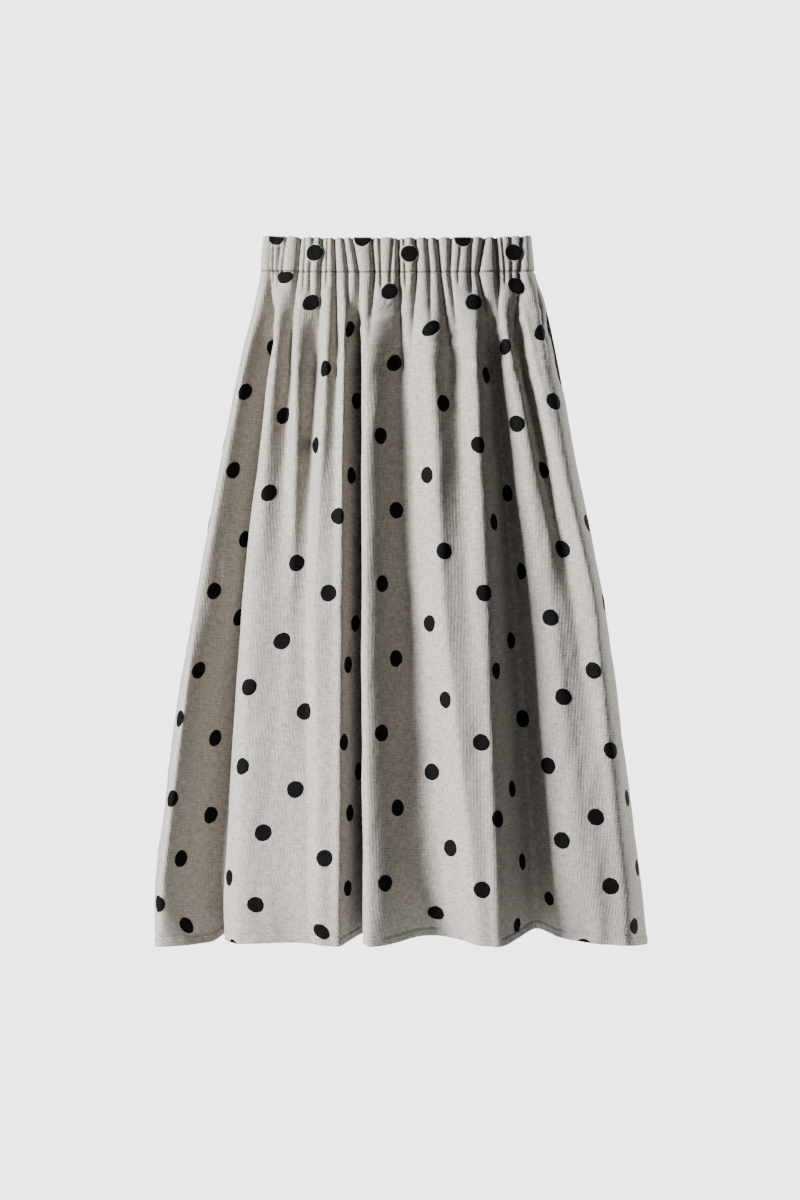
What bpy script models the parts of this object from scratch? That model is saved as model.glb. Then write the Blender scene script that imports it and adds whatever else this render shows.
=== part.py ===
"""A-line midi skirt of linen, gathered on a broad elastic waistband, filled out as if worn.

Metres. The front faces -Y and +Z is up. The origin is the middle of the waist opening.
"""
import math

import bpy

# Driving dimensions
WAIST_DEPTH = 0.041        # height of the gathered waistband
SEAM_GAP = 0.0003          # clearance between two sewn pieces
BAND_WALL = 0.0026         # casing and elastic together
CLOTH_WALL = 0.0013        # linen, as a wall that can be made
HEM_WALL = 0.0024          # the turned-up hem, three layers
HEM_TURN = 0.010           # height of the turned-up hem
HEM_DEPTH = 0.800          # from the waist's top to the hem at the front
HEM_LEVEL_LIFT = 0.22      # how far the hem rises for each metre that a fold goes in
CORNER_HANG = 0.8          # share of that rise lost in the corner to the wearer's right
CORNER_START = 0.185       # how far out the corner begins
CORNER_FULL = 0.215
ROLL_START = 0.705         # where the hem begins to curl inwards
ROLL_IN = 0.022            # how far the curl has gone in at the hem

WAIST_DIP = 0.005          # how far the waist dips at the front
DIP_END = 0.15             # depth by which the dip has faded

MOUTH_TOP = 0.078          # the pocket's mouth in the side seam to the wearer's left
MOUTH_END = 0.176
MOUTH_GAPE = 0.0038        # how far the front edge stands in from the back one there
MOUTH_LEAN = 0.0016        # how far the front edge stands forward there
BAG_WALL = 0.0011          # one layer of the pocket bag
BAG_GAP = 0.0020           # clearance between the bag and the panels
BAG_HALF = 0.0046          # half the bag's fullness
BAG_EDGE_HALF = 0.0005     # half the space left along its sewn edges
BAG_ROWS = 8               # wall strips down the bag
BAG_STEPS = 7              # wall strips across one layer of the bag
BAG_TOP_CORNER = (0.124, 0.100)     # inner end of its top edge: across, depth
BAG_LOW_CORNER = (0.128, 0.262)     # inner end of its lower edge
BAG_BELLY = 0.016          # how far its lower edge bulges
BAG_END_SHARE = 0.04       # share of the mouth's height left above and below the bag
BAG_CLOSED = 0.96          # how far the pouch closes at its inner end, 1 for shut
MOUTH_ROUND = 0.7          # below 1 the mouth opens more quickly at its ends

FLATNESS = 0.62            # 1 for an oval section, less for a flatter front and fuller corners
CORNERS = (                # where the front swells beside a side seam: share of the half width, spread
    ("corner by the side valley", -0.965, 0.035),
    ("corner by the pocket", 0.950, 0.065),
)
CORNER_SWELL = 0.17        # how far it swells there, as a share of the half depth
CORNER_ROUND = 0.3         # less for a sharper turn at the seam
GATHERS = 22               # ripples on each half of the waist
GATHER_STEPS = 4           # wall facets on each ripple
BAND_RIPPLE = 0.0021       # half the height of a ripple on the band
BAND_MIDDLE = 0.0205       # depth of a row half way down the band
EDGE_ROUND = 0.004         # how far down the band's top edge is rounded
EDGE_SHRINK = 0.012        # how much smaller the very edge is than the band, as a share
SEAM_RIPPLE = 0.0034       # half the height of a ripple just under the seam
GATHER_WANDER = ((3.0, 0.0075), (7.0, 0.0042))    # slow and quick drift: waves, share moved
GATHER_MEAN = 0.78         # mean height of a gather, as a share of the highest
GATHER_WAVES = 5.0         # times that the height swells across one half
RIPPLE_END = 0.150         # depth at which the gathers have become folds
FOLD_START = 0.045         # depth at which the folds begin
FOLD_FULL = 0.163          # depth of the table's hip column
FOLD_MID = 0.412           # depth of the table's middle column
FOLD_LOW = 0.780           # depth of the table's hem column
EDGE_SHARE = 0.985         # how near the side edge a fold may lie, as a share of the half width
KEY_GAP = 0.012            # least angle between two folds, in radians
PANEL_ROWS = 11            # wall strips from the seam to the hem turning
ROW_CROWD = 1.35           # how much closer together the rows are under the seam
HEM_STEP = 0.001           # height over which the wall thickens to the hem
SAMPLES = 720              # points on a trial section, for its length
LINEN_COLOUR = (0.36, 0.335, 0.305, 1.0)
LINEN_ROUGHNESS = 0.9

# The bare form of the body: depth below the waist's top, half width to the left,
# half width to the right, half depth from front to back
OVAL = (
    (0.000, 0.1545, 0.1500, 0.050),
    (0.041, 0.1580, 0.1540, 0.054),
    (0.073, 0.1637, 0.1640, 0.059),
    (0.129, 0.1773, 0.1765, 0.067),
    (0.242, 0.1995, 0.1970, 0.081),
    (0.412, 0.2294, 0.2300, 0.100),
    (0.526, 0.2490, 0.2460, 0.112),
    (0.639, 0.2634, 0.2612, 0.124),
    (0.752, 0.2740, 0.2755, 0.135),
    (0.812, 0.2725, 0.2815, 0.141),
)

# Folds: where each lies across the skirt and how far it goes in, at hip, middle and hem.
# A crest goes in by nothing. Metres from the middle, to the wearer's right first.
FRONT_FOLDS = (
    ("side crest", -0.177, -0.2240, -0.2660, -0.002, -0.004, -0.007),
    ("side valley", -0.167, -0.2130, -0.2530, 0.020, 0.043, 0.051),
    ("valley floor", -0.158, -0.1960, -0.2240, 0.033, 0.058, 0.071),
    ("lobe edge", -0.151, -0.1850, -0.2010, 0.008, 0.022, 0.024),
    ("lobe crest", -0.143, -0.1660, -0.1800, 0.001, 0.004, 0.006),
    ("lobe dip", -0.127, -0.1360, -0.1480, 0.020, 0.011, 0.010),
    ("lobe end", -0.1160, -0.1210, -0.1250, 0.001, 0.013, 0.012),
    ("slack dip", -0.097, -0.1060, -0.1030, 0.021, 0.017, 0.010),
    ("slack crest", -0.083, -0.0940, -0.0870, 0.000, 0.002, 0.002),
    ("near dip", -0.071, -0.0760, -0.0780, 0.008, 0.001, 0.001),
    ("pleat lip", -0.063, -0.0660, -0.0680, -0.002, -0.002, -0.002),
    ("pleat wall", -0.0565, -0.0575, -0.0585, 0.010, 0.012, 0.014),
    ("pleat floor", -0.049, -0.0500, -0.0490, 0.026, 0.038, 0.050),
    ("pleat edge", -0.044, -0.0440, -0.0410, 0.008, 0.006, 0.008),
    ("pleat crest", -0.035, -0.0370, -0.0330, -0.001, -0.003, -0.003),
    ("centre valley", 0.004, 0.0110, 0.0340, 0.023, 0.033, 0.039),
    ("centre edge", 0.017, 0.0250, 0.0660, 0.014, 0.024, 0.024),
    ("broad crest", 0.037, 0.0500, 0.0910, 0.000, 0.000, 0.000),
    ("broad dip", 0.063, 0.0700, 0.1010, 0.016, 0.003, -0.002),
    ("flank crest", 0.086, 0.0950, 0.1070, -0.001, -0.003, -0.004),
    ("deep valley", 0.112, 0.1340, 0.1610, 0.032, 0.050, 0.066),
    ("outer edge", 0.123, 0.1530, 0.1840, 0.012, 0.022, 0.032),
    ("outer crest", 0.132, 0.1810, 0.2140, 0.006, 0.007, 0.012),
    ("outer dip", 0.148, 0.1960, 0.2300, 0.024, 0.008, 0.004),
    ("pocket crest", 0.159, 0.2160, 0.2560, 0.002, -0.006, 0.003),
)
BACK_FOLDS = (
    ("right crest", -0.170, -0.220, -0.264, 0.002, 0.000, 0.000),
    ("right valley", -0.150, -0.192, -0.222, 0.018, 0.026, 0.028),
    ("right lobe", -0.126, -0.160, -0.190, 0.000, 0.002, 0.002),
    ("soft dip", -0.108, -0.132, -0.152, 0.012, 0.014, 0.012),
    ("soft crest", -0.088, -0.108, -0.124, 0.002, 0.000, 0.000),
    ("back valley", -0.064, -0.078, -0.092, 0.026, 0.040, 0.046),
    ("back crest", -0.042, -0.050, -0.058, 0.000, -0.002, 0.000),
    ("small dip", -0.022, -0.026, -0.030, 0.010, 0.008, 0.006),
    ("middle crest", 0.000, -0.002, -0.004, 0.002, 0.000, 0.000),
    ("middle valley", 0.024, 0.030, 0.036, 0.020, 0.028, 0.032),
    ("left broad", 0.050, 0.064, 0.076, 0.000, -0.002, 0.000),
    ("left dip", 0.074, 0.092, 0.106, 0.012, 0.010, 0.008),
    ("left crest", 0.092, 0.114, 0.134, 0.000, 0.000, 0.000),
    ("left valley", 0.116, 0.146, 0.174, 0.028, 0.044, 0.048),
    ("left lobe", 0.136, 0.176, 0.208, 0.002, 0.002, 0.002),
    ("left hollow", 0.152, 0.200, 0.238, 0.012, 0.016, 0.014),
    ("last crest", 0.168, 0.219, 0.262, 0.001, 0.000, 0.000),
)


def smooth_step(value, low, high):
    """Rise smoothly from 0 at low to 1 at high."""
    share = min(max((value - low) / (high - low), 0.0), 1.0)
    return share * share * (3.0 - 2.0 * share)


def slopes(places, values):
    """Slopes at each key that never overshoot between the keys."""
    steps = [(values[k + 1] - values[k]) / (places[k + 1] - places[k]) for k in range(len(places) - 1)]
    found = [steps[0]]
    for before, after in zip(steps, steps[1:]):
        found.append(0.0 if before * after <= 0.0 else 2.0 * before * after / (before + after))
    found.append(steps[-1])
    return found


def curve_at(places, values, tangents, place):
    """The smooth curve through the keys, level beyond the first and the last."""
    if place <= places[0]:
        return values[0]
    if place >= places[-1]:
        return values[-1]
    k = 0
    while places[k + 1] < place:
        k += 1
    width = places[k + 1] - places[k]
    t = (place - places[k]) / width
    rise = t * t * (3.0 - 2.0 * t)
    start = t * (1.0 - t) * (1.0 - t) * width * tangents[k]
    end = t * t * (t - 1.0) * width * tangents[k + 1]
    return values[k] * (1.0 - rise) + values[k + 1] * rise + start + end


OVAL_DEPTHS = [row[0] for row in OVAL]
OVAL_COLUMNS = [[row[column] for row in OVAL] for column in (1, 2, 3)]
OVAL_SLOPES = [slopes(OVAL_DEPTHS, column) for column in OVAL_COLUMNS]


def oval(depth):
    """Left half width, right half width and half depth of the bare oval."""
    return [curve_at(OVAL_DEPTHS, OVAL_COLUMNS[k], OVAL_SLOPES[k], depth) for k in range(3)]


def fold_keys(folds, depth, left, right):
    """Angles and inward depths of the folds at one depth below the waist."""
    angles = [-math.pi / 2]
    depths = [0.0]
    grown = smooth_step(depth, FOLD_START, FOLD_FULL)
    for _, x_hip, x_mid, x_hem, in_hip, in_mid, in_hem in folds:
        if depth < FOLD_MID:
            share = (depth - FOLD_FULL) / (FOLD_MID - FOLD_FULL)
            across = x_hip + (x_mid - x_hip) * share
            inward = in_hip + (in_mid - in_hip) * max(share, 0.0)
        else:
            share = (depth - FOLD_MID) / (FOLD_LOW - FOLD_MID)
            across = x_mid + (x_hem - x_mid) * share
            inward = in_mid + (in_hem - in_mid) * min(share, 1.0)
        half = left if across < 0.0 else right
        angles.append(math.asin(min(max(across / half, -EDGE_SHARE), EDGE_SHARE)))
        depths.append(inward * grown)
    angles.append(math.pi / 2)
    depths.append(0.0)
    order = sorted(range(len(angles)), key=lambda k: angles[k])
    kept = [order[0]]
    for k in order[1:]:
        if angles[k] - angles[kept[-1]] > KEY_GAP:
            kept.append(k)
    kept[-1] = order[-1]
    return [angles[k] for k in kept], [depths[k] for k in kept]


def corner_swell(angle):
    """How far the front swells at its corners, as a share of the half depth."""
    near = sum(math.exp(-(((math.sin(angle) - at) / spread) ** 2)) for _, at, spread in CORNERS)
    return CORNER_SWELL * near * max(math.cos(angle), 0.0) ** CORNER_ROUND


def section(folds, facing, depth):
    """Place, outward direction, pull inwards and dip along one half, from left to right."""
    left, right, deep = oval(depth)
    dipped = (1.0 - smooth_step(depth, 0.0, DIP_END)) if facing > 0 else 0.0
    angles, depths = fold_keys(folds, depth, left, right)
    tangents = slopes(angles, depths)
    rolled = ROLL_IN * max((depth - ROLL_START) / (HEM_DEPTH - ROLL_START), 0.0) ** 2
    points = []
    for k in range(SAMPLES + 1):
        angle = -math.pi / 2 + math.pi * k / SAMPLES
        inward = curve_at(angles, depths, tangents, angle)
        turn = (math.pi / 2) * (2.0 * angle / math.pi) ** 3
        half = left if angle < 0.0 else right
        pull = inward + rolled * math.cos(angle)
        x = half * math.sin(angle) - pull * math.sin(turn)
        full = math.cos(angle) ** FLATNESS + (corner_swell(angle) if facing > 0 else 0.0)
        y = deep * full - pull * math.cos(turn)
        dip = WAIST_DIP * math.cos(angle) * dipped
        points.append((x, -facing * y, math.sin(turn), -facing * math.cos(turn), pull, dip))
    return points


def along(points):
    """The running length of a section."""
    total = [0.0]
    for here, after in zip(points, points[1:]):
        total.append(total[-1] + math.hypot(after[0] - here[0], after[1] - here[1]))
    return total


def gather_share(share, facing):
    """Uneven spacing of the gathers: a share of the way round, moved a little."""
    (slow_waves, slow_move), (quick_waves, quick_move) = GATHER_WANDER
    slow = slow_move * math.sin(2.0 * math.pi * slow_waves * share + facing)
    quick = quick_move * math.sin(2.0 * math.pi * quick_waves * share)
    return share + (slow + quick) * math.sin(math.pi * share)


def gather_size(share, facing):
    """Uneven height of the gathers, from about half to full, as a share."""
    swell = math.sin(2.0 * math.pi * GATHER_WAVES * share + facing)
    return GATHER_MEAN + (1.0 - GATHER_MEAN) * swell


def ring_points(folds, facing, depth, ripple, edge_gap):
    """One row of the wall: points at even shares of the cloth, rippled by the gathers.

    With an edge gap, each end runs straight up to the side seam, square to it.
    """
    points = section(folds, facing, depth)
    total = along(points)
    columns = GATHERS * GATHER_STEPS
    crowd = 1.0 - smooth_step(depth, WAIST_DEPTH, RIPPLE_END)
    row = []
    k = 0
    for column in range(columns + 1):
        share = column / columns
        place = share + (gather_share(share, facing) - share) * crowd
        target = min(max(place * total[-1], edge_gap), total[-1] - edge_gap)
        while k < SAMPLES - 1 and total[k + 1] < target:
            k += 1
        part = (target - total[k]) / (total[k + 1] - total[k])
        mixed = [a + (b - a) * part for a, b in zip(points[k], points[k + 1])]
        wave = ripple * gather_size(share, facing) * math.cos(2.0 * math.pi * GATHERS * share)
        wave -= ripple
        x = mixed[0] + wave * mixed[2]
        y = mixed[1] + wave * mixed[3]
        row.append((x, y, mixed[4], mixed[5]))
    if edge_gap:
        row[1] = (row[0][0], *row[1][1:])
        row[-2] = (row[-1][0], *row[-2][1:])
    return row


def panel_depths():
    """Depths of a panel's rows, closest together under the seam."""
    top = WAIST_DEPTH + SEAM_GAP
    last = HEM_DEPTH - HEM_TURN
    depths = [top + (last - top) * (k / PANEL_ROWS) ** ROW_CROWD for k in range(PANEL_ROWS + 1)]
    return depths + [last + HEM_STEP, HEM_DEPTH]


def hem_lift(x, pull):
    """How far the hem rises where the cloth goes in, less in the side valley's hanging corner."""
    return HEM_LEVEL_LIFT * pull * (1.0 - CORNER_HANG * smooth_step(-x, CORNER_START, CORNER_FULL))


def linen(name):
    """The dotted linen of one piece."""
    material = bpy.data.materials.new(name + "_linen")
    material.use_nodes = True
    finish = material.node_tree.nodes["Principled BSDF"]
    finish.inputs["Base Color"].default_value = LINEN_COLOUR
    finish.inputs["Roughness"].default_value = LINEN_ROUGHNESS
    return material


def solid_from_grid(name, rows, wall, thin_share, thick_rows, closed):
    """A closed wall on a grid of points, thickened inwards.

    The last thick_rows rows have the full wall and the rest have thin_share of it.
    """
    mesh = bpy.data.meshes.new(name)
    across = len(rows[0])
    verts = [point for row in rows for point in row]
    faces = []
    spans = across if closed else across - 1
    for r in range(len(rows) - 1):
        for c in range(spans):
            after = (c + 1) % across
            above = r * across
            below = above + across
            faces.append((above + c, below + c, below + after, above + after))
    mesh.from_pydata(verts, [], faces)
    mesh.update()
    body = bpy.data.objects.new(name, mesh)
    COLLECTION.objects.link(body)
    body.data.materials.append(linen(name))
    shell = body.modifiers.new("Wall", "SOLIDIFY")
    shell.thickness = wall
    shell.offset = -1.0
    shell.use_rim = True
    if thick_rows:
        group = body.vertex_groups.new(name="HemTurning")
        first = (len(rows) - thick_rows) * across
        group.add(list(range(first, len(verts))), 1.0, "REPLACE")
        shell.vertex_group = group.name
        shell.thickness_vertex_group = thin_share
    return body


def mouth_open(depth):
    """How open the pocket's mouth is at one depth, from 0 to 1."""
    if not MOUTH_TOP < depth < MOUTH_END:
        return 0.0
    return math.sin(math.pi * (depth - MOUTH_TOP) / (MOUTH_END - MOUTH_TOP)) ** MOUTH_ROUND


def build_panel(name, folds, facing):
    """A gathered A-line panel from the waist seam to the turned-up hem."""
    rows = []
    for depth in panel_depths():
        fade = 1.0 - smooth_step(depth, WAIST_DEPTH, RIPPLE_END)
        row = ring_points(folds, facing, depth, SEAM_RIPPLE * fade, SEAM_GAP / 2)
        if facing > 0:
            gape = mouth_open(depth)
            for k in (-1, -2):
                row[k] = (row[k][0] - MOUTH_GAPE * gape, row[k][1] - MOUTH_LEAN * gape, *row[k][2:])
        fall = smooth_step(depth, ROLL_START, HEM_DEPTH)
        placed = [(x, y, -depth - dip + hem_lift(x, pull) * fall) for x, y, pull, dip in row]
        rows.append(placed if facing > 0 else placed[::-1])
    return solid_from_grid(name, rows, HEM_WALL, CLOTH_WALL / HEM_WALL, 2, False)


def build_waistband():
    """The gathered casing that the elastic runs in, one ring."""
    rows = []
    for depth in (0.0, EDGE_ROUND, BAND_MIDDLE, WAIST_DEPTH):
        front = ring_points(FRONT_FOLDS, 1.0, depth, BAND_RIPPLE, 0.0)
        back = ring_points(BACK_FOLDS, -1.0, depth, BAND_RIPPLE, 0.0)
        shrink = 1.0 - EDGE_SHRINK * (depth < EDGE_ROUND)
        rows.append([(x * shrink, y * shrink, -depth - dip) for x, y, _, dip in front + back[-2:0:-1]])
    return solid_from_grid("waistband", rows, BAND_WALL, 1.0, 0, True)


def build_pocket_bag():
    """A thin pouch hung inside from the pocket's mouth, one folded wall."""
    rows = []
    for r in range(BAG_ROWS + 1):
        down = r / BAG_ROWS
        mouth_share = BAG_END_SHARE + (1.0 - 2.0 * BAG_END_SHARE) * down
        mouth_depth = MOUTH_TOP + (MOUTH_END - MOUTH_TOP) * mouth_share
        gape = mouth_open(mouth_depth)
        mouth_x = oval(mouth_depth)[1] - CLOTH_WALL - BAG_GAP - MOUTH_GAPE
        end_x = BAG_TOP_CORNER[0] + (BAG_LOW_CORNER[0] - BAG_TOP_CORNER[0]) * down
        end_depth = BAG_TOP_CORNER[1] + (BAG_LOW_CORNER[1] - BAG_TOP_CORNER[1]) * down
        half = BAG_EDGE_HALF + (BAG_HALF - BAG_EDGE_HALF) * gape
        front = []
        back = []
        for c in range(BAG_STEPS + 1):
            inward = c / BAG_STEPS
            bulge = BAG_BELLY * down * math.sin(math.pi * inward)
            x = mouth_x + (end_x - mouth_x) * inward
            depth = mouth_depth + (end_depth - mouth_depth) * inward + bulge
            y = half * math.sqrt(1.0 - BAG_CLOSED * inward ** 4)
            front.append((x, -y, -depth))
            back.append((x + MOUTH_GAPE * (1.0 - inward), y, -depth))
        rows.append(front + back[::-1])
    return solid_from_grid("pocket_bag", rows, BAG_WALL, 1.0, 0, False)


for old in list(bpy.data.objects):
    bpy.data.objects.remove(old, do_unlink=True)

COLLECTION = bpy.data.collections.new("a_line_midi_skirt")
bpy.context.scene.collection.children.link(COLLECTION)

build_waistband()
build_panel("front_panel", FRONT_FOLDS, 1.0)
build_panel("back_panel", BACK_FOLDS, -1.0)
build_pocket_bag()
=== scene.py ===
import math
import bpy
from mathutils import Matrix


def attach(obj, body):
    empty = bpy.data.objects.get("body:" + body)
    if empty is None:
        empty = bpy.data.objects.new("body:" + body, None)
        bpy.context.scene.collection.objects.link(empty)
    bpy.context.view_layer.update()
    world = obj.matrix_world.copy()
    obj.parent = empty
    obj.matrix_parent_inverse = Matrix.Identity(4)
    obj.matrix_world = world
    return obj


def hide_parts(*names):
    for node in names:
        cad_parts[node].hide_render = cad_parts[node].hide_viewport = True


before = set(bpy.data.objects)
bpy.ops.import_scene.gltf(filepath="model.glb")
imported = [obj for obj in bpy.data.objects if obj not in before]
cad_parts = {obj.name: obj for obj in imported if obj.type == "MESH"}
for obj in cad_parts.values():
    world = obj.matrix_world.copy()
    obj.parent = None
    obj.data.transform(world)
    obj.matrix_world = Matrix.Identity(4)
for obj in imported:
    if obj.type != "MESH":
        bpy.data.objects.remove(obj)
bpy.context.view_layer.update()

# An A-line midi skirt of dotted linen. Metres, in the frame of the solids: the front faces
# -Y, +Z is up, and the origin is the middle of the waist opening.
from types import SimpleNamespace

import bmesh
import bpy
import numpy as np
from mathutils import Vector

# ---------------------------------------------------------------- sizes of the solids
WAIST_DEPTH = 0.041        # height of the gathered waistband
SEAM_GAP = 0.0003          # clearance between two sewn pieces
HEM_TURN = 0.010           # height of the turned-up hem
HEM_DEPTH = 0.800          # from the waist's top to the hem
HEM_LEVEL_LIFT = 0.22      # how far the hem rises for each metre that a fold goes in
CORNER_HANG = 0.8          # share of that rise lost in the corner to the wearer's right
CORNER_START = 0.185       # how far out the corner begins
CORNER_FULL = 0.215        # how far out it is full
ROLL_START = 0.705         # where the hem begins to curl inwards
ROLL_IN = 0.022            # how far the curl has gone in at the hem
WAIST_DIP = 0.005          # how far the waist dips at the front
DIP_END = 0.15             # depth by which the dip has faded

FOLD_START = 0.045         # depth at which the folds begin
FOLD_FULL = 0.163          # depth of the fold table's hip column
FOLD_MID = 0.412           # depth of its middle column
FOLD_LOW = 0.780           # depth of its hem column

MOUTH_TOP = 0.078          # the pocket's mouth in the side seam
MOUTH_END = 0.176
MOUTH_GAPE = 0.0038        # how far the front edge stands in from the back one there
MOUTH_LEAN = 0.0016        # how far the front edge stands forward there
MOUTH_WIDER = 1.3          # how much more it gapes than in the solids
MOUTH_SPREAD = 0.060       # how much of the front beside it moves with it, as a share of its width
MOUTH_ROUND = 0.7          # less for a mouth that opens sooner from its ends
MOUTH_BLEND = 0.004        # how far beyond its ends the seam allowance changes sides

FLATNESS = 0.62            # 1 for an oval section, less for a flatter front and fuller corners
CORNERS = (                # where the front swells beside a side seam: share of the half width, spread
    ("corner by the side valley", -0.965, 0.035),
    ("corner by the pocket", 0.950, 0.065),
)
CORNER_SWELL = 0.17        # how far it swells there, as a share of the half depth
CORNER_ROUND = 0.3         # less for a sharper turn at the seam
TURN_LATE = 3              # more for an outward direction that turns to the side nearer the seam

PLEAT_X = -0.049           # where the one deep pleat lies
PLEAT_REACH = 0.013        # how far to its sides it leans
PLEAT_LEAN = 0.34          # how far it leans under its left edge for each metre that it goes in
PLEAT_LEAN_FROM = 0.008    # how far in it begins to lean
PLEAT_DEEPER = 0.018       # how much deeper its floor goes than in the solids
PLEAT_FLOOR = -0.0505      # where its floor lies
PLEAT_FLOOR_HALF = 0.0075  # half the floor's width
PLEAT_SQUARE = 4           # more for a flatter floor with steeper walls

# The bare oval of the body: depth below the waist's top, half width to the left,
# half width to the right, half depth from front to back
OVAL = (
    (0.000, 0.1545, 0.1500, 0.050),
    (0.041, 0.1580, 0.1540, 0.054),
    (0.073, 0.1637, 0.1640, 0.059),
    (0.129, 0.1773, 0.1765, 0.067),
    (0.242, 0.1995, 0.1970, 0.081),
    (0.412, 0.2294, 0.2300, 0.100),
    (0.526, 0.2490, 0.2460, 0.112),
    (0.639, 0.2634, 0.2612, 0.124),
    (0.752, 0.2740, 0.2755, 0.135),
    (0.812, 0.2725, 0.2815, 0.141),
)

FOLD_REACH = 0.985         # how near a side seam a fold may lie, as a share of the half width
FOLDS_APART = 0.012        # the least angle between two folds

# Folds: where each lies across the skirt and how far it goes in, at hip, middle and hem
FRONT_FOLDS = (
    ("side crest", -0.177, -0.2240, -0.2660, -0.002, -0.004, -0.007),
    ("side valley", -0.167, -0.2130, -0.2530, 0.020, 0.043, 0.051),
    ("valley floor", -0.158, -0.1960, -0.2240, 0.033, 0.058, 0.071),
    ("lobe edge", -0.151, -0.1850, -0.2010, 0.008, 0.022, 0.024),
    ("lobe crest", -0.143, -0.1660, -0.1800, 0.001, 0.004, 0.006),
    ("lobe dip", -0.127, -0.1360, -0.1480, 0.020, 0.011, 0.010),
    ("lobe end", -0.1160, -0.1210, -0.1250, 0.001, 0.013, 0.012),
    ("slack dip", -0.097, -0.1060, -0.1030, 0.021, 0.017, 0.010),
    ("slack crest", -0.083, -0.0940, -0.0870, 0.000, 0.002, 0.002),
    ("near dip", -0.071, -0.0760, -0.0780, 0.008, 0.001, 0.001),
    ("pleat lip", -0.063, -0.0660, -0.0680, -0.002, -0.002, -0.002),
    ("pleat wall", -0.0565, -0.0575, -0.0585, 0.010, 0.012, 0.014),
    ("pleat floor", -0.049, -0.0500, -0.0490, 0.026, 0.038, 0.050),
    ("pleat edge", -0.044, -0.0440, -0.0410, 0.008, 0.006, 0.008),
    ("pleat crest", -0.035, -0.0370, -0.0330, -0.001, -0.003, -0.003),
    ("centre valley", 0.004, 0.0110, 0.0340, 0.023, 0.033, 0.039),
    ("centre edge", 0.017, 0.0250, 0.0660, 0.014, 0.024, 0.024),
    ("broad crest", 0.037, 0.0500, 0.0910, 0.000, 0.000, 0.000),
    ("broad dip", 0.063, 0.0700, 0.1010, 0.016, 0.003, -0.002),
    ("flank crest", 0.086, 0.0950, 0.1070, -0.001, -0.003, -0.004),
    ("deep valley", 0.112, 0.1340, 0.1610, 0.032, 0.050, 0.066),
    ("outer edge", 0.123, 0.1530, 0.1840, 0.012, 0.022, 0.032),
    ("outer crest", 0.132, 0.1810, 0.2140, 0.006, 0.007, 0.012),
    ("outer dip", 0.148, 0.1960, 0.2300, 0.024, 0.008, 0.004),
    ("pocket crest", 0.159, 0.2160, 0.2560, 0.002, -0.006, 0.003),
)
BACK_FOLDS = (
    ("right crest", -0.170, -0.220, -0.264, 0.002, 0.000, 0.000),
    ("right valley", -0.150, -0.192, -0.222, 0.018, 0.026, 0.028),
    ("right lobe", -0.126, -0.160, -0.190, 0.000, 0.002, 0.002),
    ("soft dip", -0.108, -0.132, -0.152, 0.012, 0.014, 0.012),
    ("soft crest", -0.088, -0.108, -0.124, 0.002, 0.000, 0.000),
    ("back valley", -0.064, -0.078, -0.092, 0.026, 0.040, 0.046),
    ("back crest", -0.042, -0.050, -0.058, 0.000, -0.002, 0.000),
    ("small dip", -0.022, -0.026, -0.030, 0.010, 0.008, 0.006),
    ("middle crest", 0.000, -0.002, -0.004, 0.002, 0.000, 0.000),
    ("middle valley", 0.024, 0.030, 0.036, 0.020, 0.028, 0.032),
    ("left broad", 0.050, 0.064, 0.076, 0.000, -0.002, 0.000),
    ("left dip", 0.074, 0.092, 0.106, 0.012, 0.010, 0.008),
    ("left crest", 0.092, 0.114, 0.134, 0.000, 0.000, 0.000),
    ("left valley", 0.116, 0.146, 0.174, 0.028, 0.044, 0.048),
    ("left lobe", 0.136, 0.176, 0.208, 0.002, 0.002, 0.002),
    ("left hollow", 0.152, 0.200, 0.238, 0.012, 0.016, 0.014),
    ("last crest", 0.168, 0.219, 0.262, 0.001, 0.000, 0.000),
)

# Gathers of the front, as the elastic pulls them: millimetres across at the band's top, at
# the seam and 68 mm under it, how deep each is, how wide, and the depth in mm below the
# waist's top by which it has run out
FRONT_GATHERS = (
    (-149.0, -150.5, -147.0, 5.0, 2.8, 190),
    (-143.0, -145.0, -143.0, 3.0, 2.0, 70),
    (-135.5, -140.0, -136.0, 4.2, 2.4, 62),
    (-129.0, -134.0, -131.0, 3.6, 2.2, 60),
    (-112.5, -116.0, -124.0, 6.0, 3.2, 200),
    (-106.0, -108.0, -109.0, 2.4, 2.2, 72),
    (-97.0, -101.5, -99.0, 3.6, 2.6, 84),
    (-87.0, -89.0, -91.0, 5.5, 3.0, 200),
    (-81.0, -82.0, -81.0, 2.5, 2.0, 62),
    (-73.5, -72.0, -71.0, 6.2, 3.0, 220),
    (-63.0, -58.0, -58.0, 4.5, 2.6, 105),
    (-53.0, -46.0, -45.0, 5.0, 2.8, 200),
    (-31.0, -28.0, -33.0, 5.6, 2.8, 150),
    (-22.0, -21.0, -18.0, 3.8, 2.2, 68),
    (-7.0, -10.0, -8.0, 2.4, 2.0, 62),
    (-1.0, -0.5, 1.5, 6.4, 2.8, 230),
    (5.0, 6.5, 8.0, 3.6, 2.2, 68),
    (18.0, 19.0, 15.0, 5.6, 3.0, 200),
    (31.0, 34.0, 35.0, 4.0, 2.6, 130),
    (42.5, 46.0, 54.0, 5.6, 2.8, 220),
    (58.0, 56.5, 65.0, 4.6, 2.8, 135),
    (70.0, 66.0, 68.0, 2.2, 2.2, 62),
    (81.0, 79.5, 84.0, 4.2, 2.6, 80),
    (96.0, 89.0, 102.0, 6.2, 3.0, 200),
    (109.0, 112.0, 113.0, 5.6, 2.8, 130),
    (116.0, 119.5, 120.0, 2.4, 2.0, 60),
    (126.0, 127.0, 127.0, 2.4, 2.0, 60),
    (140.0, 137.5, 134.0, 5.6, 2.8, 220),
    (151.5, 154.0, 166.0, 3.8, 2.4, 200),
)
BACK_GATHER_COUNT = 27
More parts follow.
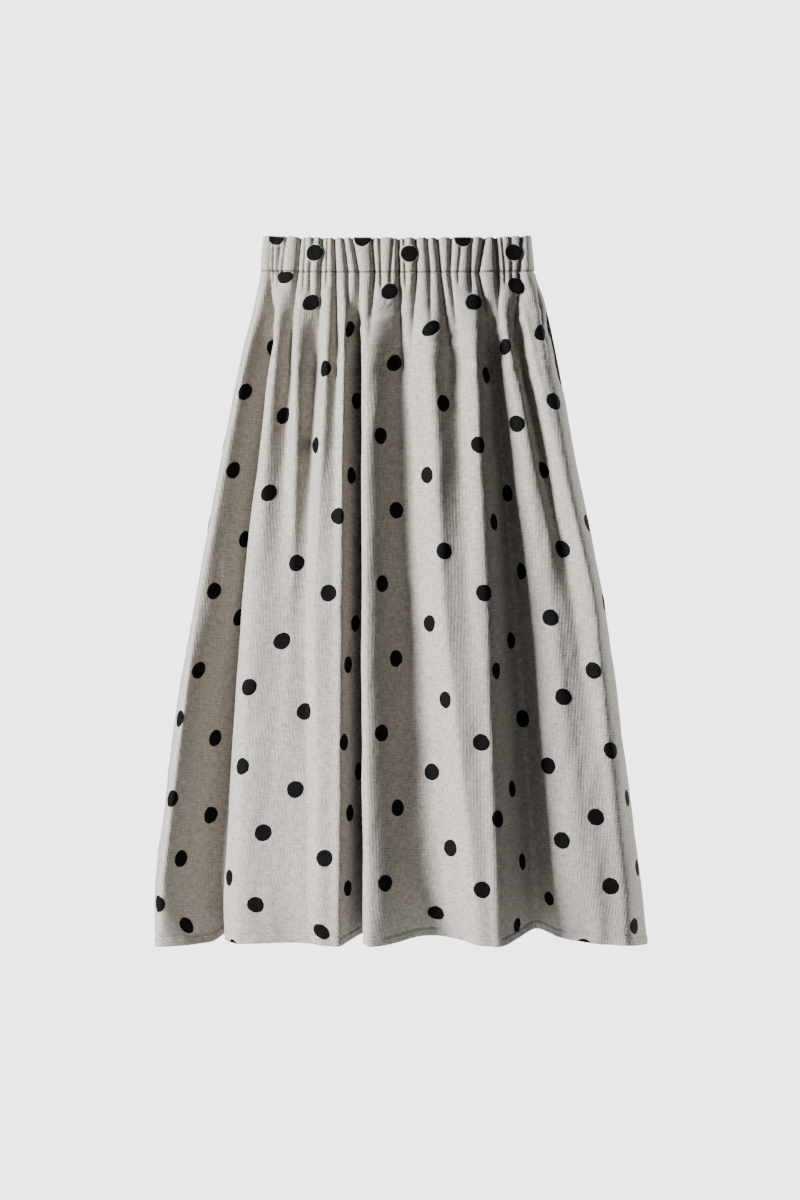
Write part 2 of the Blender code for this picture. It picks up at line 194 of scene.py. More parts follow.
SIDE_GATHERS = (           # beside both side seams: millimetres from the seam, then as above
    (6.0, 2.8, 2.2, 64),
    (13.0, 4.0, 2.6, 110),
    (21.0, 3.2, 2.4, 80),
)
SIDE_UNEVEN = 0.88         # how far they lie from the seam to the wearer's left, as a share of that
GATHERS_END = 0.24         # depth below which no gather is left
BAND_GATHERS = 1.6         # how deep the table's gathers are in the band, as a share
PANEL_GATHERS = 1.6        # and just under the seam
TOP_SCALLOP = 0.22         # how far the band's top edge sinks for each metre that a gather goes in
TOP_SCALLOP_END = 0.014    # depth by which that has faded
GATHER_POINT = 1.1         # less for a sharper bottom to each gather
GATHER_TAIL_DEPTH = 0.109  # where the gather table's third column lies
GATHER_RUN_ON = 1.3        # how far past that column a gather keeps its slant, 1 for not at all
GATHER_WIDEN = 0.8         # how much wider a gather is, as a share, at the next line's depth
GATHER_WIDEN_DEPTH = 0.06  # under the seam
GATHER_FADE_DROP = 0.010   # how far under the seam a gather begins to fade
SEAM_PINCH = 0.0017        # how far the waist seam's stitches draw the cloth in
SEAM_PINCH_REACH = 0.0018  # how far above and below them it is felt

# Soft creases in the fall of the cloth: across at their top and their end, depth at their
# top and their end, how far in, how wide, all in millimetres
FRONT_CREASES = (
    (-196, -214, 300, 520, 0.8, 5.0),
    (-172, -190, 330, 640, 0.7, 6.0),
    (-150, -166, 180, 430, 0.9, 5.0),
    (-128, -150, 420, 700, 0.8, 7.0),
    (-104, -118, 210, 520, 0.9, 5.5),
    (-92, -104, 560, 740, 0.7, 6.0),
    (-74, -88, 150, 330, 0.9, 5.0),
    (-70, -72, 420, 690, 0.7, 6.0),
    (-22, -10, 170, 420, 0.8, 5.0),
    (-12, 6, 470, 730, 0.9, 6.5),
    (22, 30, 130, 300, 1.0, 5.0),
    (52, 60, 160, 520, 0.9, 6.0),
    (44, 52, 560, 760, 0.7, 6.0),
    (72, 82, 240, 480, 1.0, 5.5),
    (84, 96, 420, 660, 0.8, 5.0),
    (112, 128, 520, 760, 0.9, 6.0),
    (146, 166, 200, 420, 1.0, 4.5),
    (166, 196, 300, 620, 0.9, 5.0),
    (184, 214, 420, 740, 0.9, 5.0),
    (206, 236, 470, 700, 0.8, 5.0),
)
BACK_CREASES = (
    (-190, -226, 260, 560, 0.9, 5.5),
    (-146, -168, 180, 460, 0.9, 5.0),
    (-120, -138, 380, 700, 0.8, 6.5),
    (-70, -96, 150, 380, 1.0, 5.0),
    (-34, -44, 300, 640, 0.8, 6.0),
    (-8, -14, 160, 360, 0.9, 5.0),
    (14, 10, 480, 740, 0.9, 6.5),
    (48, 60, 200, 520, 0.8, 5.5),
    (84, 112, 240, 600, 0.9, 6.0),
    (130, 158, 170, 420, 1.0, 5.0),
    (160, 196, 420, 720, 0.8, 5.5),
    (200, 230, 380, 640, 0.8, 5.0),
)

CREASE_SWAY = 2.0          # millimetres that a crease strays from its straight line
CREASE_BENDS = 5.0         # how far its sway turns along it, in radians
CREASE_FADE = 0.8          # less for ends that deepen sooner
CREASES_GROW = 0.03        # how far under the seam they reach their full depth
SIDE_CALM = 1 / 60         # share of a panel's width beside each seam where they flatten out
PANEL_UNEVEN = (           # small unevenness of slack linen: metres across and down, height, seed
    (0.011, 0.075, 0.00045, 0),
    (0.034, 0.130, 0.00110, 3),
    (0.0055, 0.026, 0.00016, 7),
)
HEM_UNEVEN = (             # puckers that the hem's stitches draw, in the same columns
    (0.006, 0.012, 0.0006, 11),
    (0.021, 0.030, 0.0005, 13),
)
HEM_PUCKER_MIDDLE = 0.008  # height above the hem where they are highest
HEM_PUCKER_REACH = 0.007   # how far above and below that they reach
HEM_GROOVE = 0.0007        # depth of the groove at those stitches
HEM_GROOVE_WIDE = 0.0016   # half its width

# The dots' repeat on flat cloth: four dots, across and down
REPEAT = (0.1258, 0.1655)
REPEAT_DOTS = ((0.0, 0.0), (0.0210, 0.0828), (0.0629, 0.0414), (0.0839, 0.1242))
REPEATS_ACROSS = range(-5, 6)    # enough of them to cover a panel
REPEATS_DOWN = range(-2, 7)
DOT_RADIUS = 0.0094
DOT_RAISE = 0.0006          # how far the embroidery stands out from the cloth
FIRST_DOT = (0.0, 0.0635)   # one dot of the front panel: across from its middle, depth
DOT_DROP = 0.67             # how far a row of dots drops towards the sides, for each square metre
DOT_DROP_EASE = 2.0         # how that eases off further out
DOT_DROP_TOP = 0.3          # how much more it is just under the seam, as a share
DOT_DROP_TOP_FADE = (0.05, 0.12)    # depths between which that is lost
DOT_DROP_HEM = 0.3          # how much less it is near the hem
DOT_DROP_HEM_FADE = (0.56, 0.74)    # depths between which that sets in
DOT_OVERHANG = 0.02         # how far past a side seam a dot's middle may lie, as a share of the width

# Puckers that the embroidery draws in the cloth above and below each dot
PUCKER_PLACES = (-0.0052, 0.0004, 0.0058)    # across from the dot's middle
PUCKER_LEAN = 0.0012       # how far they wander from dot to dot
PUCKER_PACE = 2.1          # how fast they do, in radians for each dot
PUCKER_DEEP = 0.00034
PUCKER_WIDE = 0.0019       # half the width of one
PUCKER_AWAY = 0.0155       # how far above and below the dot's middle they are deepest
PUCKER_LENGTH = 0.0075     # half its length
PUCKER_REACH = 0.04        # beyond this they are nothing

PANEL_CALM = (0.85, 1.15)  # shares of a dot's radius between which its hold on the cloth ends
BAND_CALM = (1.0, 1.2)
PANEL_CALM_IN = 0.0012     # how far in the cloth lies under a dot among the gathers
PANEL_CALM_END = 0.12      # depth below which it lies no further in

PANEL_COLUMNS = 396
PANEL_ROWS = 226
ROWS_EVEN = 0.55           # 1 for even rows
ROWS_CROWD = 1.9           # more for rows that crowd more towards the waist
HEM_ROW_STEP = 0.001       # from row to row in the turned-up hem
HEM_ROWS_HEIGHT = 0.014    # how far above the hem those rows reach
BAND_COLUMNS = 900
SAMPLES = 2400             # steps along one section
TINY = 1e-12               # keeps a division from zero
WELD = 0.000002            # points nearer than this are one


def smooth_step(value, low, high):
    """0 up to low, 1 from high on, and a smooth rise between them."""
    share = np.clip((value - low) / (high - low), 0.0, 1.0)
    return share * share * (3.0 - 2.0 * share)


def between(first, second, share):
    """The value at a share of the way from the first to the second."""
    return first + (second - first) * share


def key_slopes(places, values):
    """Slopes at the keys that never overshoot between them."""
    steps = np.diff(values) / np.diff(places)
    before, after = steps[:-1], steps[1:]
    same = before * after > 0.0
    total = np.where(same, before + after, 1.0)
    middle = np.where(same, 2.0 * before * after / total, 0.0)
    return np.concatenate(([steps[0]], middle, [steps[-1]]))


def through_keys(places, values, wanted):
    """The smooth curve through the keys, level beyond the first and the last."""
    places, values = np.asarray(places), np.asarray(values)
    tangents = key_slopes(places, values)
    wanted = np.clip(wanted, places[0], places[-1])
    k = np.clip(np.searchsorted(places, wanted) - 1, 0, len(places) - 2)
    width = places[k + 1] - places[k]
    t = (wanted - places[k]) / width
    rise = t * t * (3.0 - 2.0 * t)
    start = t * (1.0 - t) ** 2 * width * tangents[k]
    end = t * t * (t - 1.0) * width * tangents[k + 1]
    return values[k] * (1.0 - rise) + values[k + 1] * rise + start + end


# ---------------------------------------------------------------- the sections
OVAL_TABLE = np.array(OVAL)


def oval(depth):
    """Left half width, right half width and half depth of the bare oval."""
    return [float(through_keys(OVAL_TABLE[:, 0], OVAL_TABLE[:, k], depth)) for k in (1, 2, 3)]


def fold_keys(folds, depth, left, right):
    """Angles and inward depths of the folds at one depth below the waist."""
    hip_x, mid_x, hem_x, hip_in, mid_in, hem_in = np.array([row[1:] for row in folds]).T
    grown = float(smooth_step(depth, FOLD_START, FOLD_FULL))
    if depth < FOLD_MID:
        share = (depth - FOLD_FULL) / (FOLD_MID - FOLD_FULL)
        across = between(hip_x, mid_x, share)
        inward = between(hip_in, mid_in, max(share, 0.0))
    else:
        share = (depth - FOLD_MID) / (FOLD_LOW - FOLD_MID)
        across = between(mid_x, hem_x, share)
        inward = between(mid_in, hem_in, min(share, 1.0))
    half = np.where(across < 0.0, left, right)
    angles = np.arcsin(np.clip(across / half, -FOLD_REACH, FOLD_REACH))
    angles = np.concatenate(([-math.pi / 2], angles, [math.pi / 2]))
    depths = np.concatenate(([0.0], inward * grown, [0.0]))
    order = np.argsort(angles, kind="stable")
    kept = [order[0]]
    for k in order[1:]:
        if angles[k] - angles[kept[-1]] > FOLDS_APART:
            kept.append(k)
    kept[-1] = order[-1]
    return angles[kept], depths[kept]


def corner_swell(angle):
    """How far the front swells at its corners, as a share of the half depth."""
    near = sum(np.exp(-(((np.sin(angle) - at) / spread) ** 2)) for _, at, spread in CORNERS)
    return CORNER_SWELL * near * np.maximum(np.cos(angle), 0.0) ** CORNER_ROUND


def section(folds, facing, depth):
    """One half's section, from left to right: place, outward direction and pull inwards."""
    left, right, deep = oval(depth)
    angles, depths = fold_keys(folds, depth, left, right)
    angle = np.linspace(-math.pi / 2, math.pi / 2, SAMPLES + 1)
    inward = through_keys(angles, depths, angle)
    if facing > 0:
        floor = np.exp(-((((left * np.sin(angle)) - PLEAT_FLOOR) / PLEAT_FLOOR_HALF) ** PLEAT_SQUARE))
        inward = inward + PLEAT_DEEPER * floor * float(smooth_step(depth, FOLD_START, FOLD_FULL))
    rolled = ROLL_IN * max((depth - ROLL_START) / (HEM_DEPTH - ROLL_START), 0.0) ** 2
    turn = (math.pi / 2) * (2.0 * angle / math.pi) ** TURN_LATE
    half = np.where(angle < 0.0, left, right)
    pull = inward + rolled * np.cos(angle)
    x = half * np.sin(angle) - pull * np.sin(turn)
    full = np.cos(angle) ** FLATNESS + (corner_swell(angle) if facing > 0 else 0.0)
    y = deep * full - pull * np.cos(turn)
    if facing > 0:
        near = np.exp(-(((x - PLEAT_X) / PLEAT_REACH) ** PLEAT_SQUARE))
        x = x + PLEAT_LEAN * near * np.maximum(inward - PLEAT_LEAN_FROM, 0.0)
    along = np.concatenate(([0.0], np.cumsum(np.hypot(np.diff(x), np.diff(y)))))
    return SimpleNamespace(
        x=x, y=-facing * y, out_x=np.sin(turn), out_y=-facing * np.cos(turn),
        pull=pull, along=along, bare_x=half * np.sin(angle), middle=np.cos(angle),
    )


# ---------------------------------------------------------------- unevenness
NOISE_FACTORS = (127.1, 311.7, 74.7)    # large odd factors for column, row and seed, so that values scatter
NOISE_SCATTER = 43758.5453


def soft_noise(across, down, seed):
    """Smooth uneven values from -1 to 1 over a surface."""
    column, row = np.floor(across), np.floor(down)
    a, b = across - column, down - row
    a, b = a * a * (3.0 - 2.0 * a), b * b * (3.0 - 2.0 * b)

    def corner(i, j):
        """The value at a corner of each square, from 0 to 1."""
        by_column, by_row, by_seed = NOISE_FACTORS
        value = np.sin((column + i) * by_column + (row + j) * by_row + seed * by_seed) * NOISE_SCATTER
        return value - np.floor(value)

    top = corner(0, 0) * (1.0 - a) + corner(1, 0) * a
    low = corner(0, 1) * (1.0 - a) + corner(1, 1) * a
    return 2.0 * (top * (1.0 - b) + low * b) - 1.0


def unevenness(across, down, sizes, seed):
    """Soft noise of several sizes laid over each other."""
    return sum(high * soft_noise(across / wide, down / tall, seed + step) for wide, tall, high, step in sizes)


# ---------------------------------------------------------------- the elastic's gathers
BACK_GATHER_SPAN = 304.0   # millimetres across which they spread
BACK_TAIL_SPREAD = 1.03    # how much further out they lie at the tail than at the seam
# How they wander from one to the next, as a mean, a swing, and the swing's pace and start
BACK_TOP_WANDER = (0.0, 4.0, 2.3, 0.7)
BACK_SEAM_WANDER = (0.0, 3.5, 1.7, 2.0)
BACK_TAIL_WANDER = (0.0, 2.5, 3.1, 0.0)
BACK_DEEP_WANDER = (4.2, 1.8, 2.9, 0.4)
BACK_WIDE_WANDER = (2.5, 0.4, 5.0, 0.0)
BACK_END_WANDER = (125.0, 65.0, 4.1, 0.0)


def wander(k, mean, swing, pace, start):
    """A value that swings about its mean from one gather to the next."""
    return mean + swing * math.sin(pace * k + start)


def back_gathers():
    """Gathers of the back, in the front table's columns, spaced as unevenly."""
    rows = []
    step = BACK_GATHER_SPAN / BACK_GATHER_COUNT
    for k in range(BACK_GATHER_COUNT):
        top = -BACK_GATHER_SPAN / 2 + step * (k + 0.5) + wander(k, *BACK_TOP_WANDER)
        seam = top + wander(k, *BACK_SEAM_WANDER)
        tail = seam * BACK_TAIL_SPREAD + wander(k, *BACK_TAIL_WANDER)
        size = [wander(k, *values) for values in (BACK_DEEP_WANDER, BACK_WIDE_WANDER, BACK_END_WANDER)]
        rows.append((top, seam, tail, *size))
    return tuple(rows)


NO_GATHERS = ((), 0)       # a table of gathers, and how many of the side gathers go with it
FRONT_PULLS = (FRONT_GATHERS, 2)
BACK_PULLS = (back_gathers(), 3)


def gather_rows(cut, gathers, depth):
    """Where each gather lies along one section, how deep and wide it is, and where it ends."""
    table, side_count = gathers
    over = min(depth / WAIST_DEPTH, 1.0)
    under = max(depth - WAIST_DEPTH, 0.0) / (GATHER_TAIL_DEPTH - WAIST_DEPTH)
    for top, seam, tail, deep, wide, end in table:
        across = between(top, seam, over) + (tail - seam) * min(under, GATHER_RUN_ON)
        yield np.interp(across / 1000.0, cut.bare_x, cut.along), deep, wide, end
    for off, deep, wide, end in SIDE_GATHERS[:side_count]:
        yield off / 1000.0, deep, wide, end
        yield cut.along[-1] - off / 1000.0 * SIDE_UNEVEN, deep, wide, end


def gather_pull(cut, gathers, depth):
    """How far the gathers draw the cloth in along one section."""
    pull = np.zeros(SAMPLES + 1)
    if depth > GATHERS_END:
        return pull
    widen = 1.0 + GATHER_WIDEN * max(depth - WAIST_DEPTH, 0.0) / GATHER_WIDEN_DEPTH
    fade_from = WAIST_DEPTH + GATHER_FADE_DROP
    for middle, deep, wide, end in gather_rows(cut, gathers, depth):
        size = BAND_GATHERS
        if depth >= WAIST_DEPTH:
            size = PANEL_GATHERS * float(1.0 - smooth_step(depth, fade_from, end / 1000.0))
        off = (cut.along - middle) / (wide / 1000.0 * widen)
        pull += deep / 1000.0 * size * np.exp(-np.abs(off) ** GATHER_POINT)
    return pull


def seam_pinch(depth):
    """How far the waist seam's stitches draw the cloth in around them."""
    return SEAM_PINCH * math.exp(-((depth - WAIST_DEPTH) / SEAM_PINCH_REACH) ** 2)


# ---------------------------------------------------------------- the cloth as a grid
def cloth_grid(folds, gathers, facing, depths, columns):
    """Rows of points on the cloth at even shares of its width, with what later steps need."""
    shares = np.linspace(0.0, 1.0, columns)
    places = np.zeros((len(depths), columns, 3))
    outs = np.zeros_like(places)
    lengths = np.zeros(len(depths))
    for r, depth in enumerate(depths):
        cut = section(folds, facing, depth)
        drawn = gather_pull(cut, gathers, depth) + seam_pinch(depth)
        x = cut.x - drawn * cut.out_x
        y = cut.y - drawn * cut.out_y
        dip = WAIST_DIP * cut.middle * (1.0 - smooth_step(depth, 0.0, DIP_END)) * (facing > 0)
        fall = float(smooth_step(depth, ROLL_START, HEM_DEPTH))
        corner = CORNER_HANG * smooth_step(-cut.x, CORNER_START, CORNER_FULL)
        z = -depth - dip + HEM_LEVEL_LIFT * cut.pull * (1.0 - corner) * fall
        z = z - TOP_SCALLOP * drawn * (1.0 - smooth_step(depth, 0.0, TOP_SCALLOP_END))
        target = shares * cut.along[-1]
        target[0] += SEAM_GAP / 2
        target[-1] -= SEAM_GAP / 2
        for k, values in enumerate((x, y, z)):
            places[r, :, k] = np.interp(target, cut.along, values)
        outs[r, :, 0] = np.interp(target, cut.along, cut.out_x)
        outs[r, :, 1] = np.interp(target, cut.along, cut.out_y)
        lengths[r] = cut.along[-1]
    return SimpleNamespace(
        place=places, out=outs, share=shares, depth=np.asarray(depths), length=lengths, facing=facing,
    )


def grid_normals(place, facing):
    """Outward unit normals of a grid whose columns run from left to right."""
    across = np.gradient(place, axis=1)
    down = np.gradient(place, axis=0)
    normal = np.cross(down, across) * facing
    return normal / np.maximum(np.linalg.norm(normal, axis=2, keepdims=True), TINY)


def crease_depths(cloth, creases, seed):
    """Soft troughs from the table and the small unevenness of slack linen."""
    x = cloth.place[:, :, 0]
    depth = np.broadcast_to(cloth.depth[:, None], x.shape)
    total = np.zeros_like(x)
    for top_x, end_x, top, end, deep, wide in creases:
        share = (depth * 1000.0 - top) / (end - top)
        middle = between(top_x, end_x, share) + CREASE_SWAY * np.sin(share * CREASE_BENDS + top)
        fade = np.sin(math.pi * np.clip(share, 0.0, 1.0)) ** CREASE_FADE
        total -= deep / 1000.0 * fade * np.exp(-(((x * 1000.0) - middle) / wide) ** 2)
    across = cloth.share[None, :] * cloth.length[:, None]
    return total + unevenness(across, depth, PANEL_UNEVEN, seed)


def sample(cloth, values, share, depth):
    """Values of a grid at any share across and depth, in straight steps between its points."""
    column = np.interp(share, cloth.share, np.arange(len(cloth.share)))
    row = np.interp(depth, cloth.depth, np.arange(len(cloth.depth)))
    c = np.clip(np.floor(column).astype(int), 0, len(cloth.share) - 2)
    r = np.clip(np.floor(row).astype(int), 0, len(cloth.depth) - 2)
    a, b = (column - c)[..., None], (row - r)[..., None]
    top = values[r, c] * (1 - a) + values[r, c + 1] * a
    low = values[r + 1, c] * (1 - a) + values[r + 1, c + 1] * a
    return top * (1 - b) + low * b


# ---------------------------------------------------------------- where the dots lie
SIDE_LEFT = (0.241, 0.506)    # cloth from the dots' middle line to the left seam: waist, hem
SIDE_RIGHT = (0.268, 0.438)

# Slack: where the dots' cloth runs ahead of an even spread, share across and millimetres
# under the seam, at the hip, the middle and the hem
SLACK = (
    (0.00, 0, 0, 0, 0),
    (0.08, -2, -15, -15, -4),
    (0.105, -3, -18, -22, -24),
    (0.125, -3, -20, -32, -20),
    (0.147, 3, -10, -24, -17),
    (0.225, 3, 0, 7, 24),
    (0.285, 4, 5, 7, 10),
    (0.32, 5, 9, 0, 8),
    (0.36, 7, 6, 1, 12),
    (0.388, 8, 2, 0, 13),
    (0.402, 6, -2, -23, -10),
    (0.42, 4, -5, -18, -27),
    (0.47, -2, 8, 0, -5),
    (0.545, 3, 28, 19, 15),
    (0.61, 6, 20, 15, 14),
    (0.65, 2, 17, 13, 12),
    (0.71, -4, 13, 11, 8),
    (0.76, -3, 10, 8, 0),
    (0.80, -2, 2, 0, 8),
    (0.835, -8, -5, -5, 1),
    (0.855, -15, -8, -9, -6),
    (0.88, -14, -10, -16, -8),
    (0.92, -13, -12, -38, -12),
    (0.94, -10, -12, -22, -24),
    (1.00, 0, 0, 0, 0),
)
SLACK_DEPTHS = (0.06, 0.17, 0.37, 0.67)    # below the waist's top, for those four columns
SLACK_SAMPLES = 401
OFF_CLOTH = (-1.0, 2.0)    # the shares given to places beyond the left seam and the right one


def cloth_edges(depth):
    """Cloth positions of the two side seams at a depth."""
    share = (depth - WAIST_DEPTH) / (FOLD_LOW - WAIST_DEPTH)
    return -between(*SIDE_LEFT, share), between(*SIDE_RIGHT, share)


def share_of(u, depth):
    """The share across a panel where a cloth position lies at a depth."""
    left, right = cloth_edges(depth)
    table = np.array(SLACK)
    level = np.array([np.interp(depth, SLACK_DEPTHS, row[1:]) for row in table]) / 1000.0
    shares = np.linspace(0.0, 1.0, SLACK_SAMPLES)
    ahead = through_keys(table[:, 0], level, shares)
    places = left + (right - left) * shares - ahead
    return float(np.interp(u, places, shares, left=OFF_CLOTH[0], right=OFF_CLOTH[1]))


def dot_drop(u, depth):
    """How far a dot hangs below the straight row, as the grain bends down to the sides."""
    near_top = DOT_DROP_TOP * (1.0 - float(smooth_step(depth, *DOT_DROP_TOP_FADE)))
    near_hem = DOT_DROP_HEM * float(smooth_step(depth, *DOT_DROP_HEM_FADE))
    return (1.0 + near_top - near_hem) * DOT_DROP * u * u / (1.0 + DOT_DROP_EASE * u * u)


def panel_dots(mirror):
    """Share across and depth of each dot on a panel, from the repeat."""
    dots = []
    for i in REPEATS_ACROSS:
        for j in REPEATS_DOWN:
            for across, down in REPEAT_DOTS:
                u = FIRST_DOT[0] + i * REPEAT[0] + across
                depth = FIRST_DOT[1] + j * REPEAT[1] + down
                depth += dot_drop(u, depth)
                share = share_of(-u if mirror else u, depth)
                inside = -DOT_OVERHANG < share < 1.0 + DOT_OVERHANG
                if inside and WAIST_DEPTH - DOT_RADIUS < depth < HEM_DEPTH + DOT_RADIUS:
                    dots.append((share, depth))
    return dots


def dot_patches(cloth, dots):
    """For each dot its middle and the cloth's real width there, to keep it round."""
    return [(share, depth, float(np.interp(depth, cloth.depth, cloth.length))) for share, depth in dots]


def calm_under_dots(cloth, raw, smooth, patches, reach):
    """Stiff embroidery holds the cloth flat: under each dot the smooth form shows."""
    keep = np.zeros(raw.shape[:2])
    for share, depth, length in patches:
        off = np.hypot((cloth.share[None, :] - share) * length, cloth.depth[:, None] - depth)
        keep = np.maximum(keep, 1.0 - smooth_step(off, DOT_RADIUS * reach[0], DOT_RADIUS * reach[1]))
    return raw * (1.0 - keep[..., None]) + smooth * keep[..., None]


def dot_puckers(cloth, patches):
    """Small puckers that the embroidery draws in the cloth above and below each dot."""
    total = np.zeros((len(cloth.depth), len(cloth.share)))
    for k, (share, depth, length) in enumerate(patches):
        near = np.abs(cloth.depth - depth) < PUCKER_REACH
        across = (cloth.share[None, :] - share) * length
        down = cloth.depth[near, None] - depth
        reach = np.exp(-(((np.abs(down) - PUCKER_AWAY) / PUCKER_LENGTH) ** 2))
        for n, at in enumerate(PUCKER_PLACES):
            lean = at + PUCKER_LEAN * math.sin(k * PUCKER_PACE + n)
            total[near] -= PUCKER_DEEP * reach * np.exp(-(((across - lean) / PUCKER_WIDE) ** 2))
    return total


def hem_puckers(cloth, seed):
    """The groove of the hem's stitches and the small uneven puckers that they draw in the cloth."""
    across = cloth.share[None, :] * cloth.length[:, None]
    above = HEM_DEPTH - cloth.depth[:, None]
    groove = np.exp(-(((above - HEM_TURN) / HEM_GROOVE_WIDE) ** 2))
    near = np.exp(-(((above - HEM_PUCKER_MIDDLE) / HEM_PUCKER_REACH) ** 2))
    return near * unevenness(across, above, HEM_UNEVEN, seed) - HEM_GROOVE * groove


# ---------------------------------------------------------------- meshes
def make_mesh(name, verts, faces, uv=None):
    """A smooth-shaded piece, with the cloth's own coordinates where it has them."""
    mesh = bpy.data.meshes.new(name)
    verts = np.asarray(verts, dtype=float).reshape(-1, 3)
    faces = np.asarray(faces, dtype=np.int32)
    mesh.vertices.add(len(verts))
    mesh.vertices.foreach_set("co", verts.ravel())
    mesh.loops.add(faces.size)
    mesh.loops.foreach_set("vertex_index", faces.ravel())
    mesh.polygons.add(len(faces))
    mesh.polygons.foreach_set("loop_start", np.arange(0, faces.size, faces.shape[1], dtype=np.int32))
    mesh.polygons.foreach_set("use_smooth", np.ones(len(faces), dtype=bool))
    mesh.update(calc_edges=True)
    if uv is not None:
        layer = mesh.uv_layers.new(name="cloth")
        layer.data.foreach_set("uv", np.asarray(uv)[faces.ravel()].ravel())
    piece = bpy.data.objects.new(name, mesh)
    bpy.context.scene.collection.objects.link(piece)
    return piece


def grid_faces(rows, columns, closed=False, flip=False):
    """Quads of a grid, whose last column joins the first where it is closed."""
    r = np.arange(rows - 1)[:, None]
    c = np.arange(columns if closed else columns - 1)[None, :]
    after = (c + 1) % columns
    upper, lower = r * columns, (r + 1) * columns
    faces = np.stack([upper + c, lower + c, lower + after, upper + after], -1).reshape(-1, 4)
    return faces[:, ::-1] if flip else faces


# ---------------------------------------------------------------- the panels
HEM_FOLD = 0.0012          # thickness of the turned-up hem
HEM_FOLD_ROUND = 0.45      # how far the fold bulges below the cloth, as a share of that
HEM_STAND = 0.00045        # how far the hem stands out from the cloth above it
HEM_STAND_BLEND = 0.001    # half the height over which it does
HEM_INSIDE_ROWS = np.array((2, 4, 6, 8))    # rows, counted up from the hem, that its inside repeats

SEAM_ALLOWANCE = 0.007     # how far the cloth runs on inside the side seams
# Where the allowance's bend and its end lie, first on the panel's own side and then pressed
# under the other panel: how far in towards the middle, and how far along its own panel
BEND_IN, BEND_ALONG = (0.0007, 0.0016), (0.0001, -0.0002)
END_IN, END_ALONG = (0.0011, 0.0040), (SEAM_ALLOWANCE, -0.4 * SEAM_ALLOWANCE)
DIRECTION_COLUMN = 3       # the column, counted from a seam, that shows which way its panel runs


def panel_depths():
    """Depths of a panel's rows, closer together under the seam and in the hem."""
    share = np.linspace(0.0, 1.0, PANEL_ROWS)
    top = WAIST_DEPTH + SEAM_GAP
    fall = top + (HEM_DEPTH - top) * between(share ** ROWS_CROWD, share, ROWS_EVEN)
    fine = HEM_DEPTH - np.arange(HEM_ROWS_HEIGHT, -HEM_ROW_STEP / 2, -HEM_ROW_STEP)
    return np.concatenate([fall[fall < fine[0] - HEM_ROW_STEP], fine])


def open_pocket_mouth(cloth, place):
    """Move the front's edge in and forward along the pocket's mouth, with the cloth beside it."""
    share = np.clip((cloth.depth - MOUTH_TOP) / (MOUTH_END - MOUTH_TOP), 0.0, 1.0)
    open_by = np.sin(math.pi * share) ** MOUTH_ROUND
    near = np.exp(-(((cloth.share - 1.0) / MOUTH_SPREAD) ** 2))
    moved = open_by[:, None] * near[None, :]
    place[:, :, 0] -= MOUTH_WIDER * MOUTH_GAPE * moved
    place[:, :, 1] -= MOUTH_LEAN * moved


def with_hem_turned(cloth):
    """Let the hem stand out, and add the rows that turn it round its edge and up inside."""
    level = HEM_DEPTH - HEM_TURN
    stand = HEM_STAND * smooth_step(cloth.depth, level - HEM_STAND_BLEND, level + HEM_STAND_BLEND)
    normal = cloth.normal
    cloth.place = place = cloth.place + normal * stand[:, None, None]
    step = place[-1] - place[-2]
    step = step / np.linalg.norm(step, axis=1, keepdims=True)
    round_low = place[-1] - normal[-1] * HEM_FOLD * 0.5 + step * HEM_FOLD * HEM_FOLD_ROUND
    inside = place - normal * HEM_FOLD
    return np.concatenate([place, [round_low, inside[-1]], inside[-1 - HEM_INSIDE_ROWS]], axis=0)


def with_seams_turned(rows, facing):
    """Add the seam allowance inside both side seams, pressed to the back except at the pocket."""
    def turned(edge, beside, own_side):
        """The allowance's bend and its end, for a share of 1 on the panel's own side."""
        along = beside - edge
        along = along / np.maximum(np.linalg.norm(along, axis=1, keepdims=True), TINY)
        centre = np.zeros_like(edge)
        centre[:, 0] = -np.sign(edge[:, 0])
        under = (1.0 - own_side)[:, None]
        bend = edge + centre * between(*BEND_IN, under) + along * between(*BEND_ALONG, under)
        end = edge + centre * between(*END_IN, under) + along * between(*END_ALONG, under)
        return np.stack([bend, end], axis=1)

    own = np.full(len(rows), 1.0 if facing < 0 else 0.0)
    depth = -rows[:, -1, 2]
    at_mouth = smooth_step(depth, MOUTH_TOP - MOUTH_BLEND, MOUTH_TOP)
    at_mouth *= 1.0 - smooth_step(depth, MOUTH_END, MOUTH_END + MOUTH_BLEND)
    left = turned(rows[:, 0], rows[:, DIRECTION_COLUMN], own)
    right = turned(rows[:, -1], rows[:, -1 - DIRECTION_COLUMN], np.maximum(own, at_mouth))
    return np.concatenate([left[:, ::-1], rows, right], axis=1)


def panel_coordinates(cloth):
    """The cloth's own coordinates, for a panel's rows and all that is turned in."""
    left, right = cloth_edges(cloth.depth)
    u = left[:, None] + (right - left)[:, None] * cloth.share[None, :]
    v = np.broadcast_to(-cloth.depth[:, None], u.shape)
    uv = np.stack([u, v], -1)
    hem = [-1, -1, *(-1 - HEM_INSIDE_ROWS)]
    uv = np.concatenate([uv, uv[hem]], axis=0)
    return np.concatenate([uv[:, 2:0:-1], uv, uv[:, -2:-4:-1]], axis=1).reshape(-1, 2)


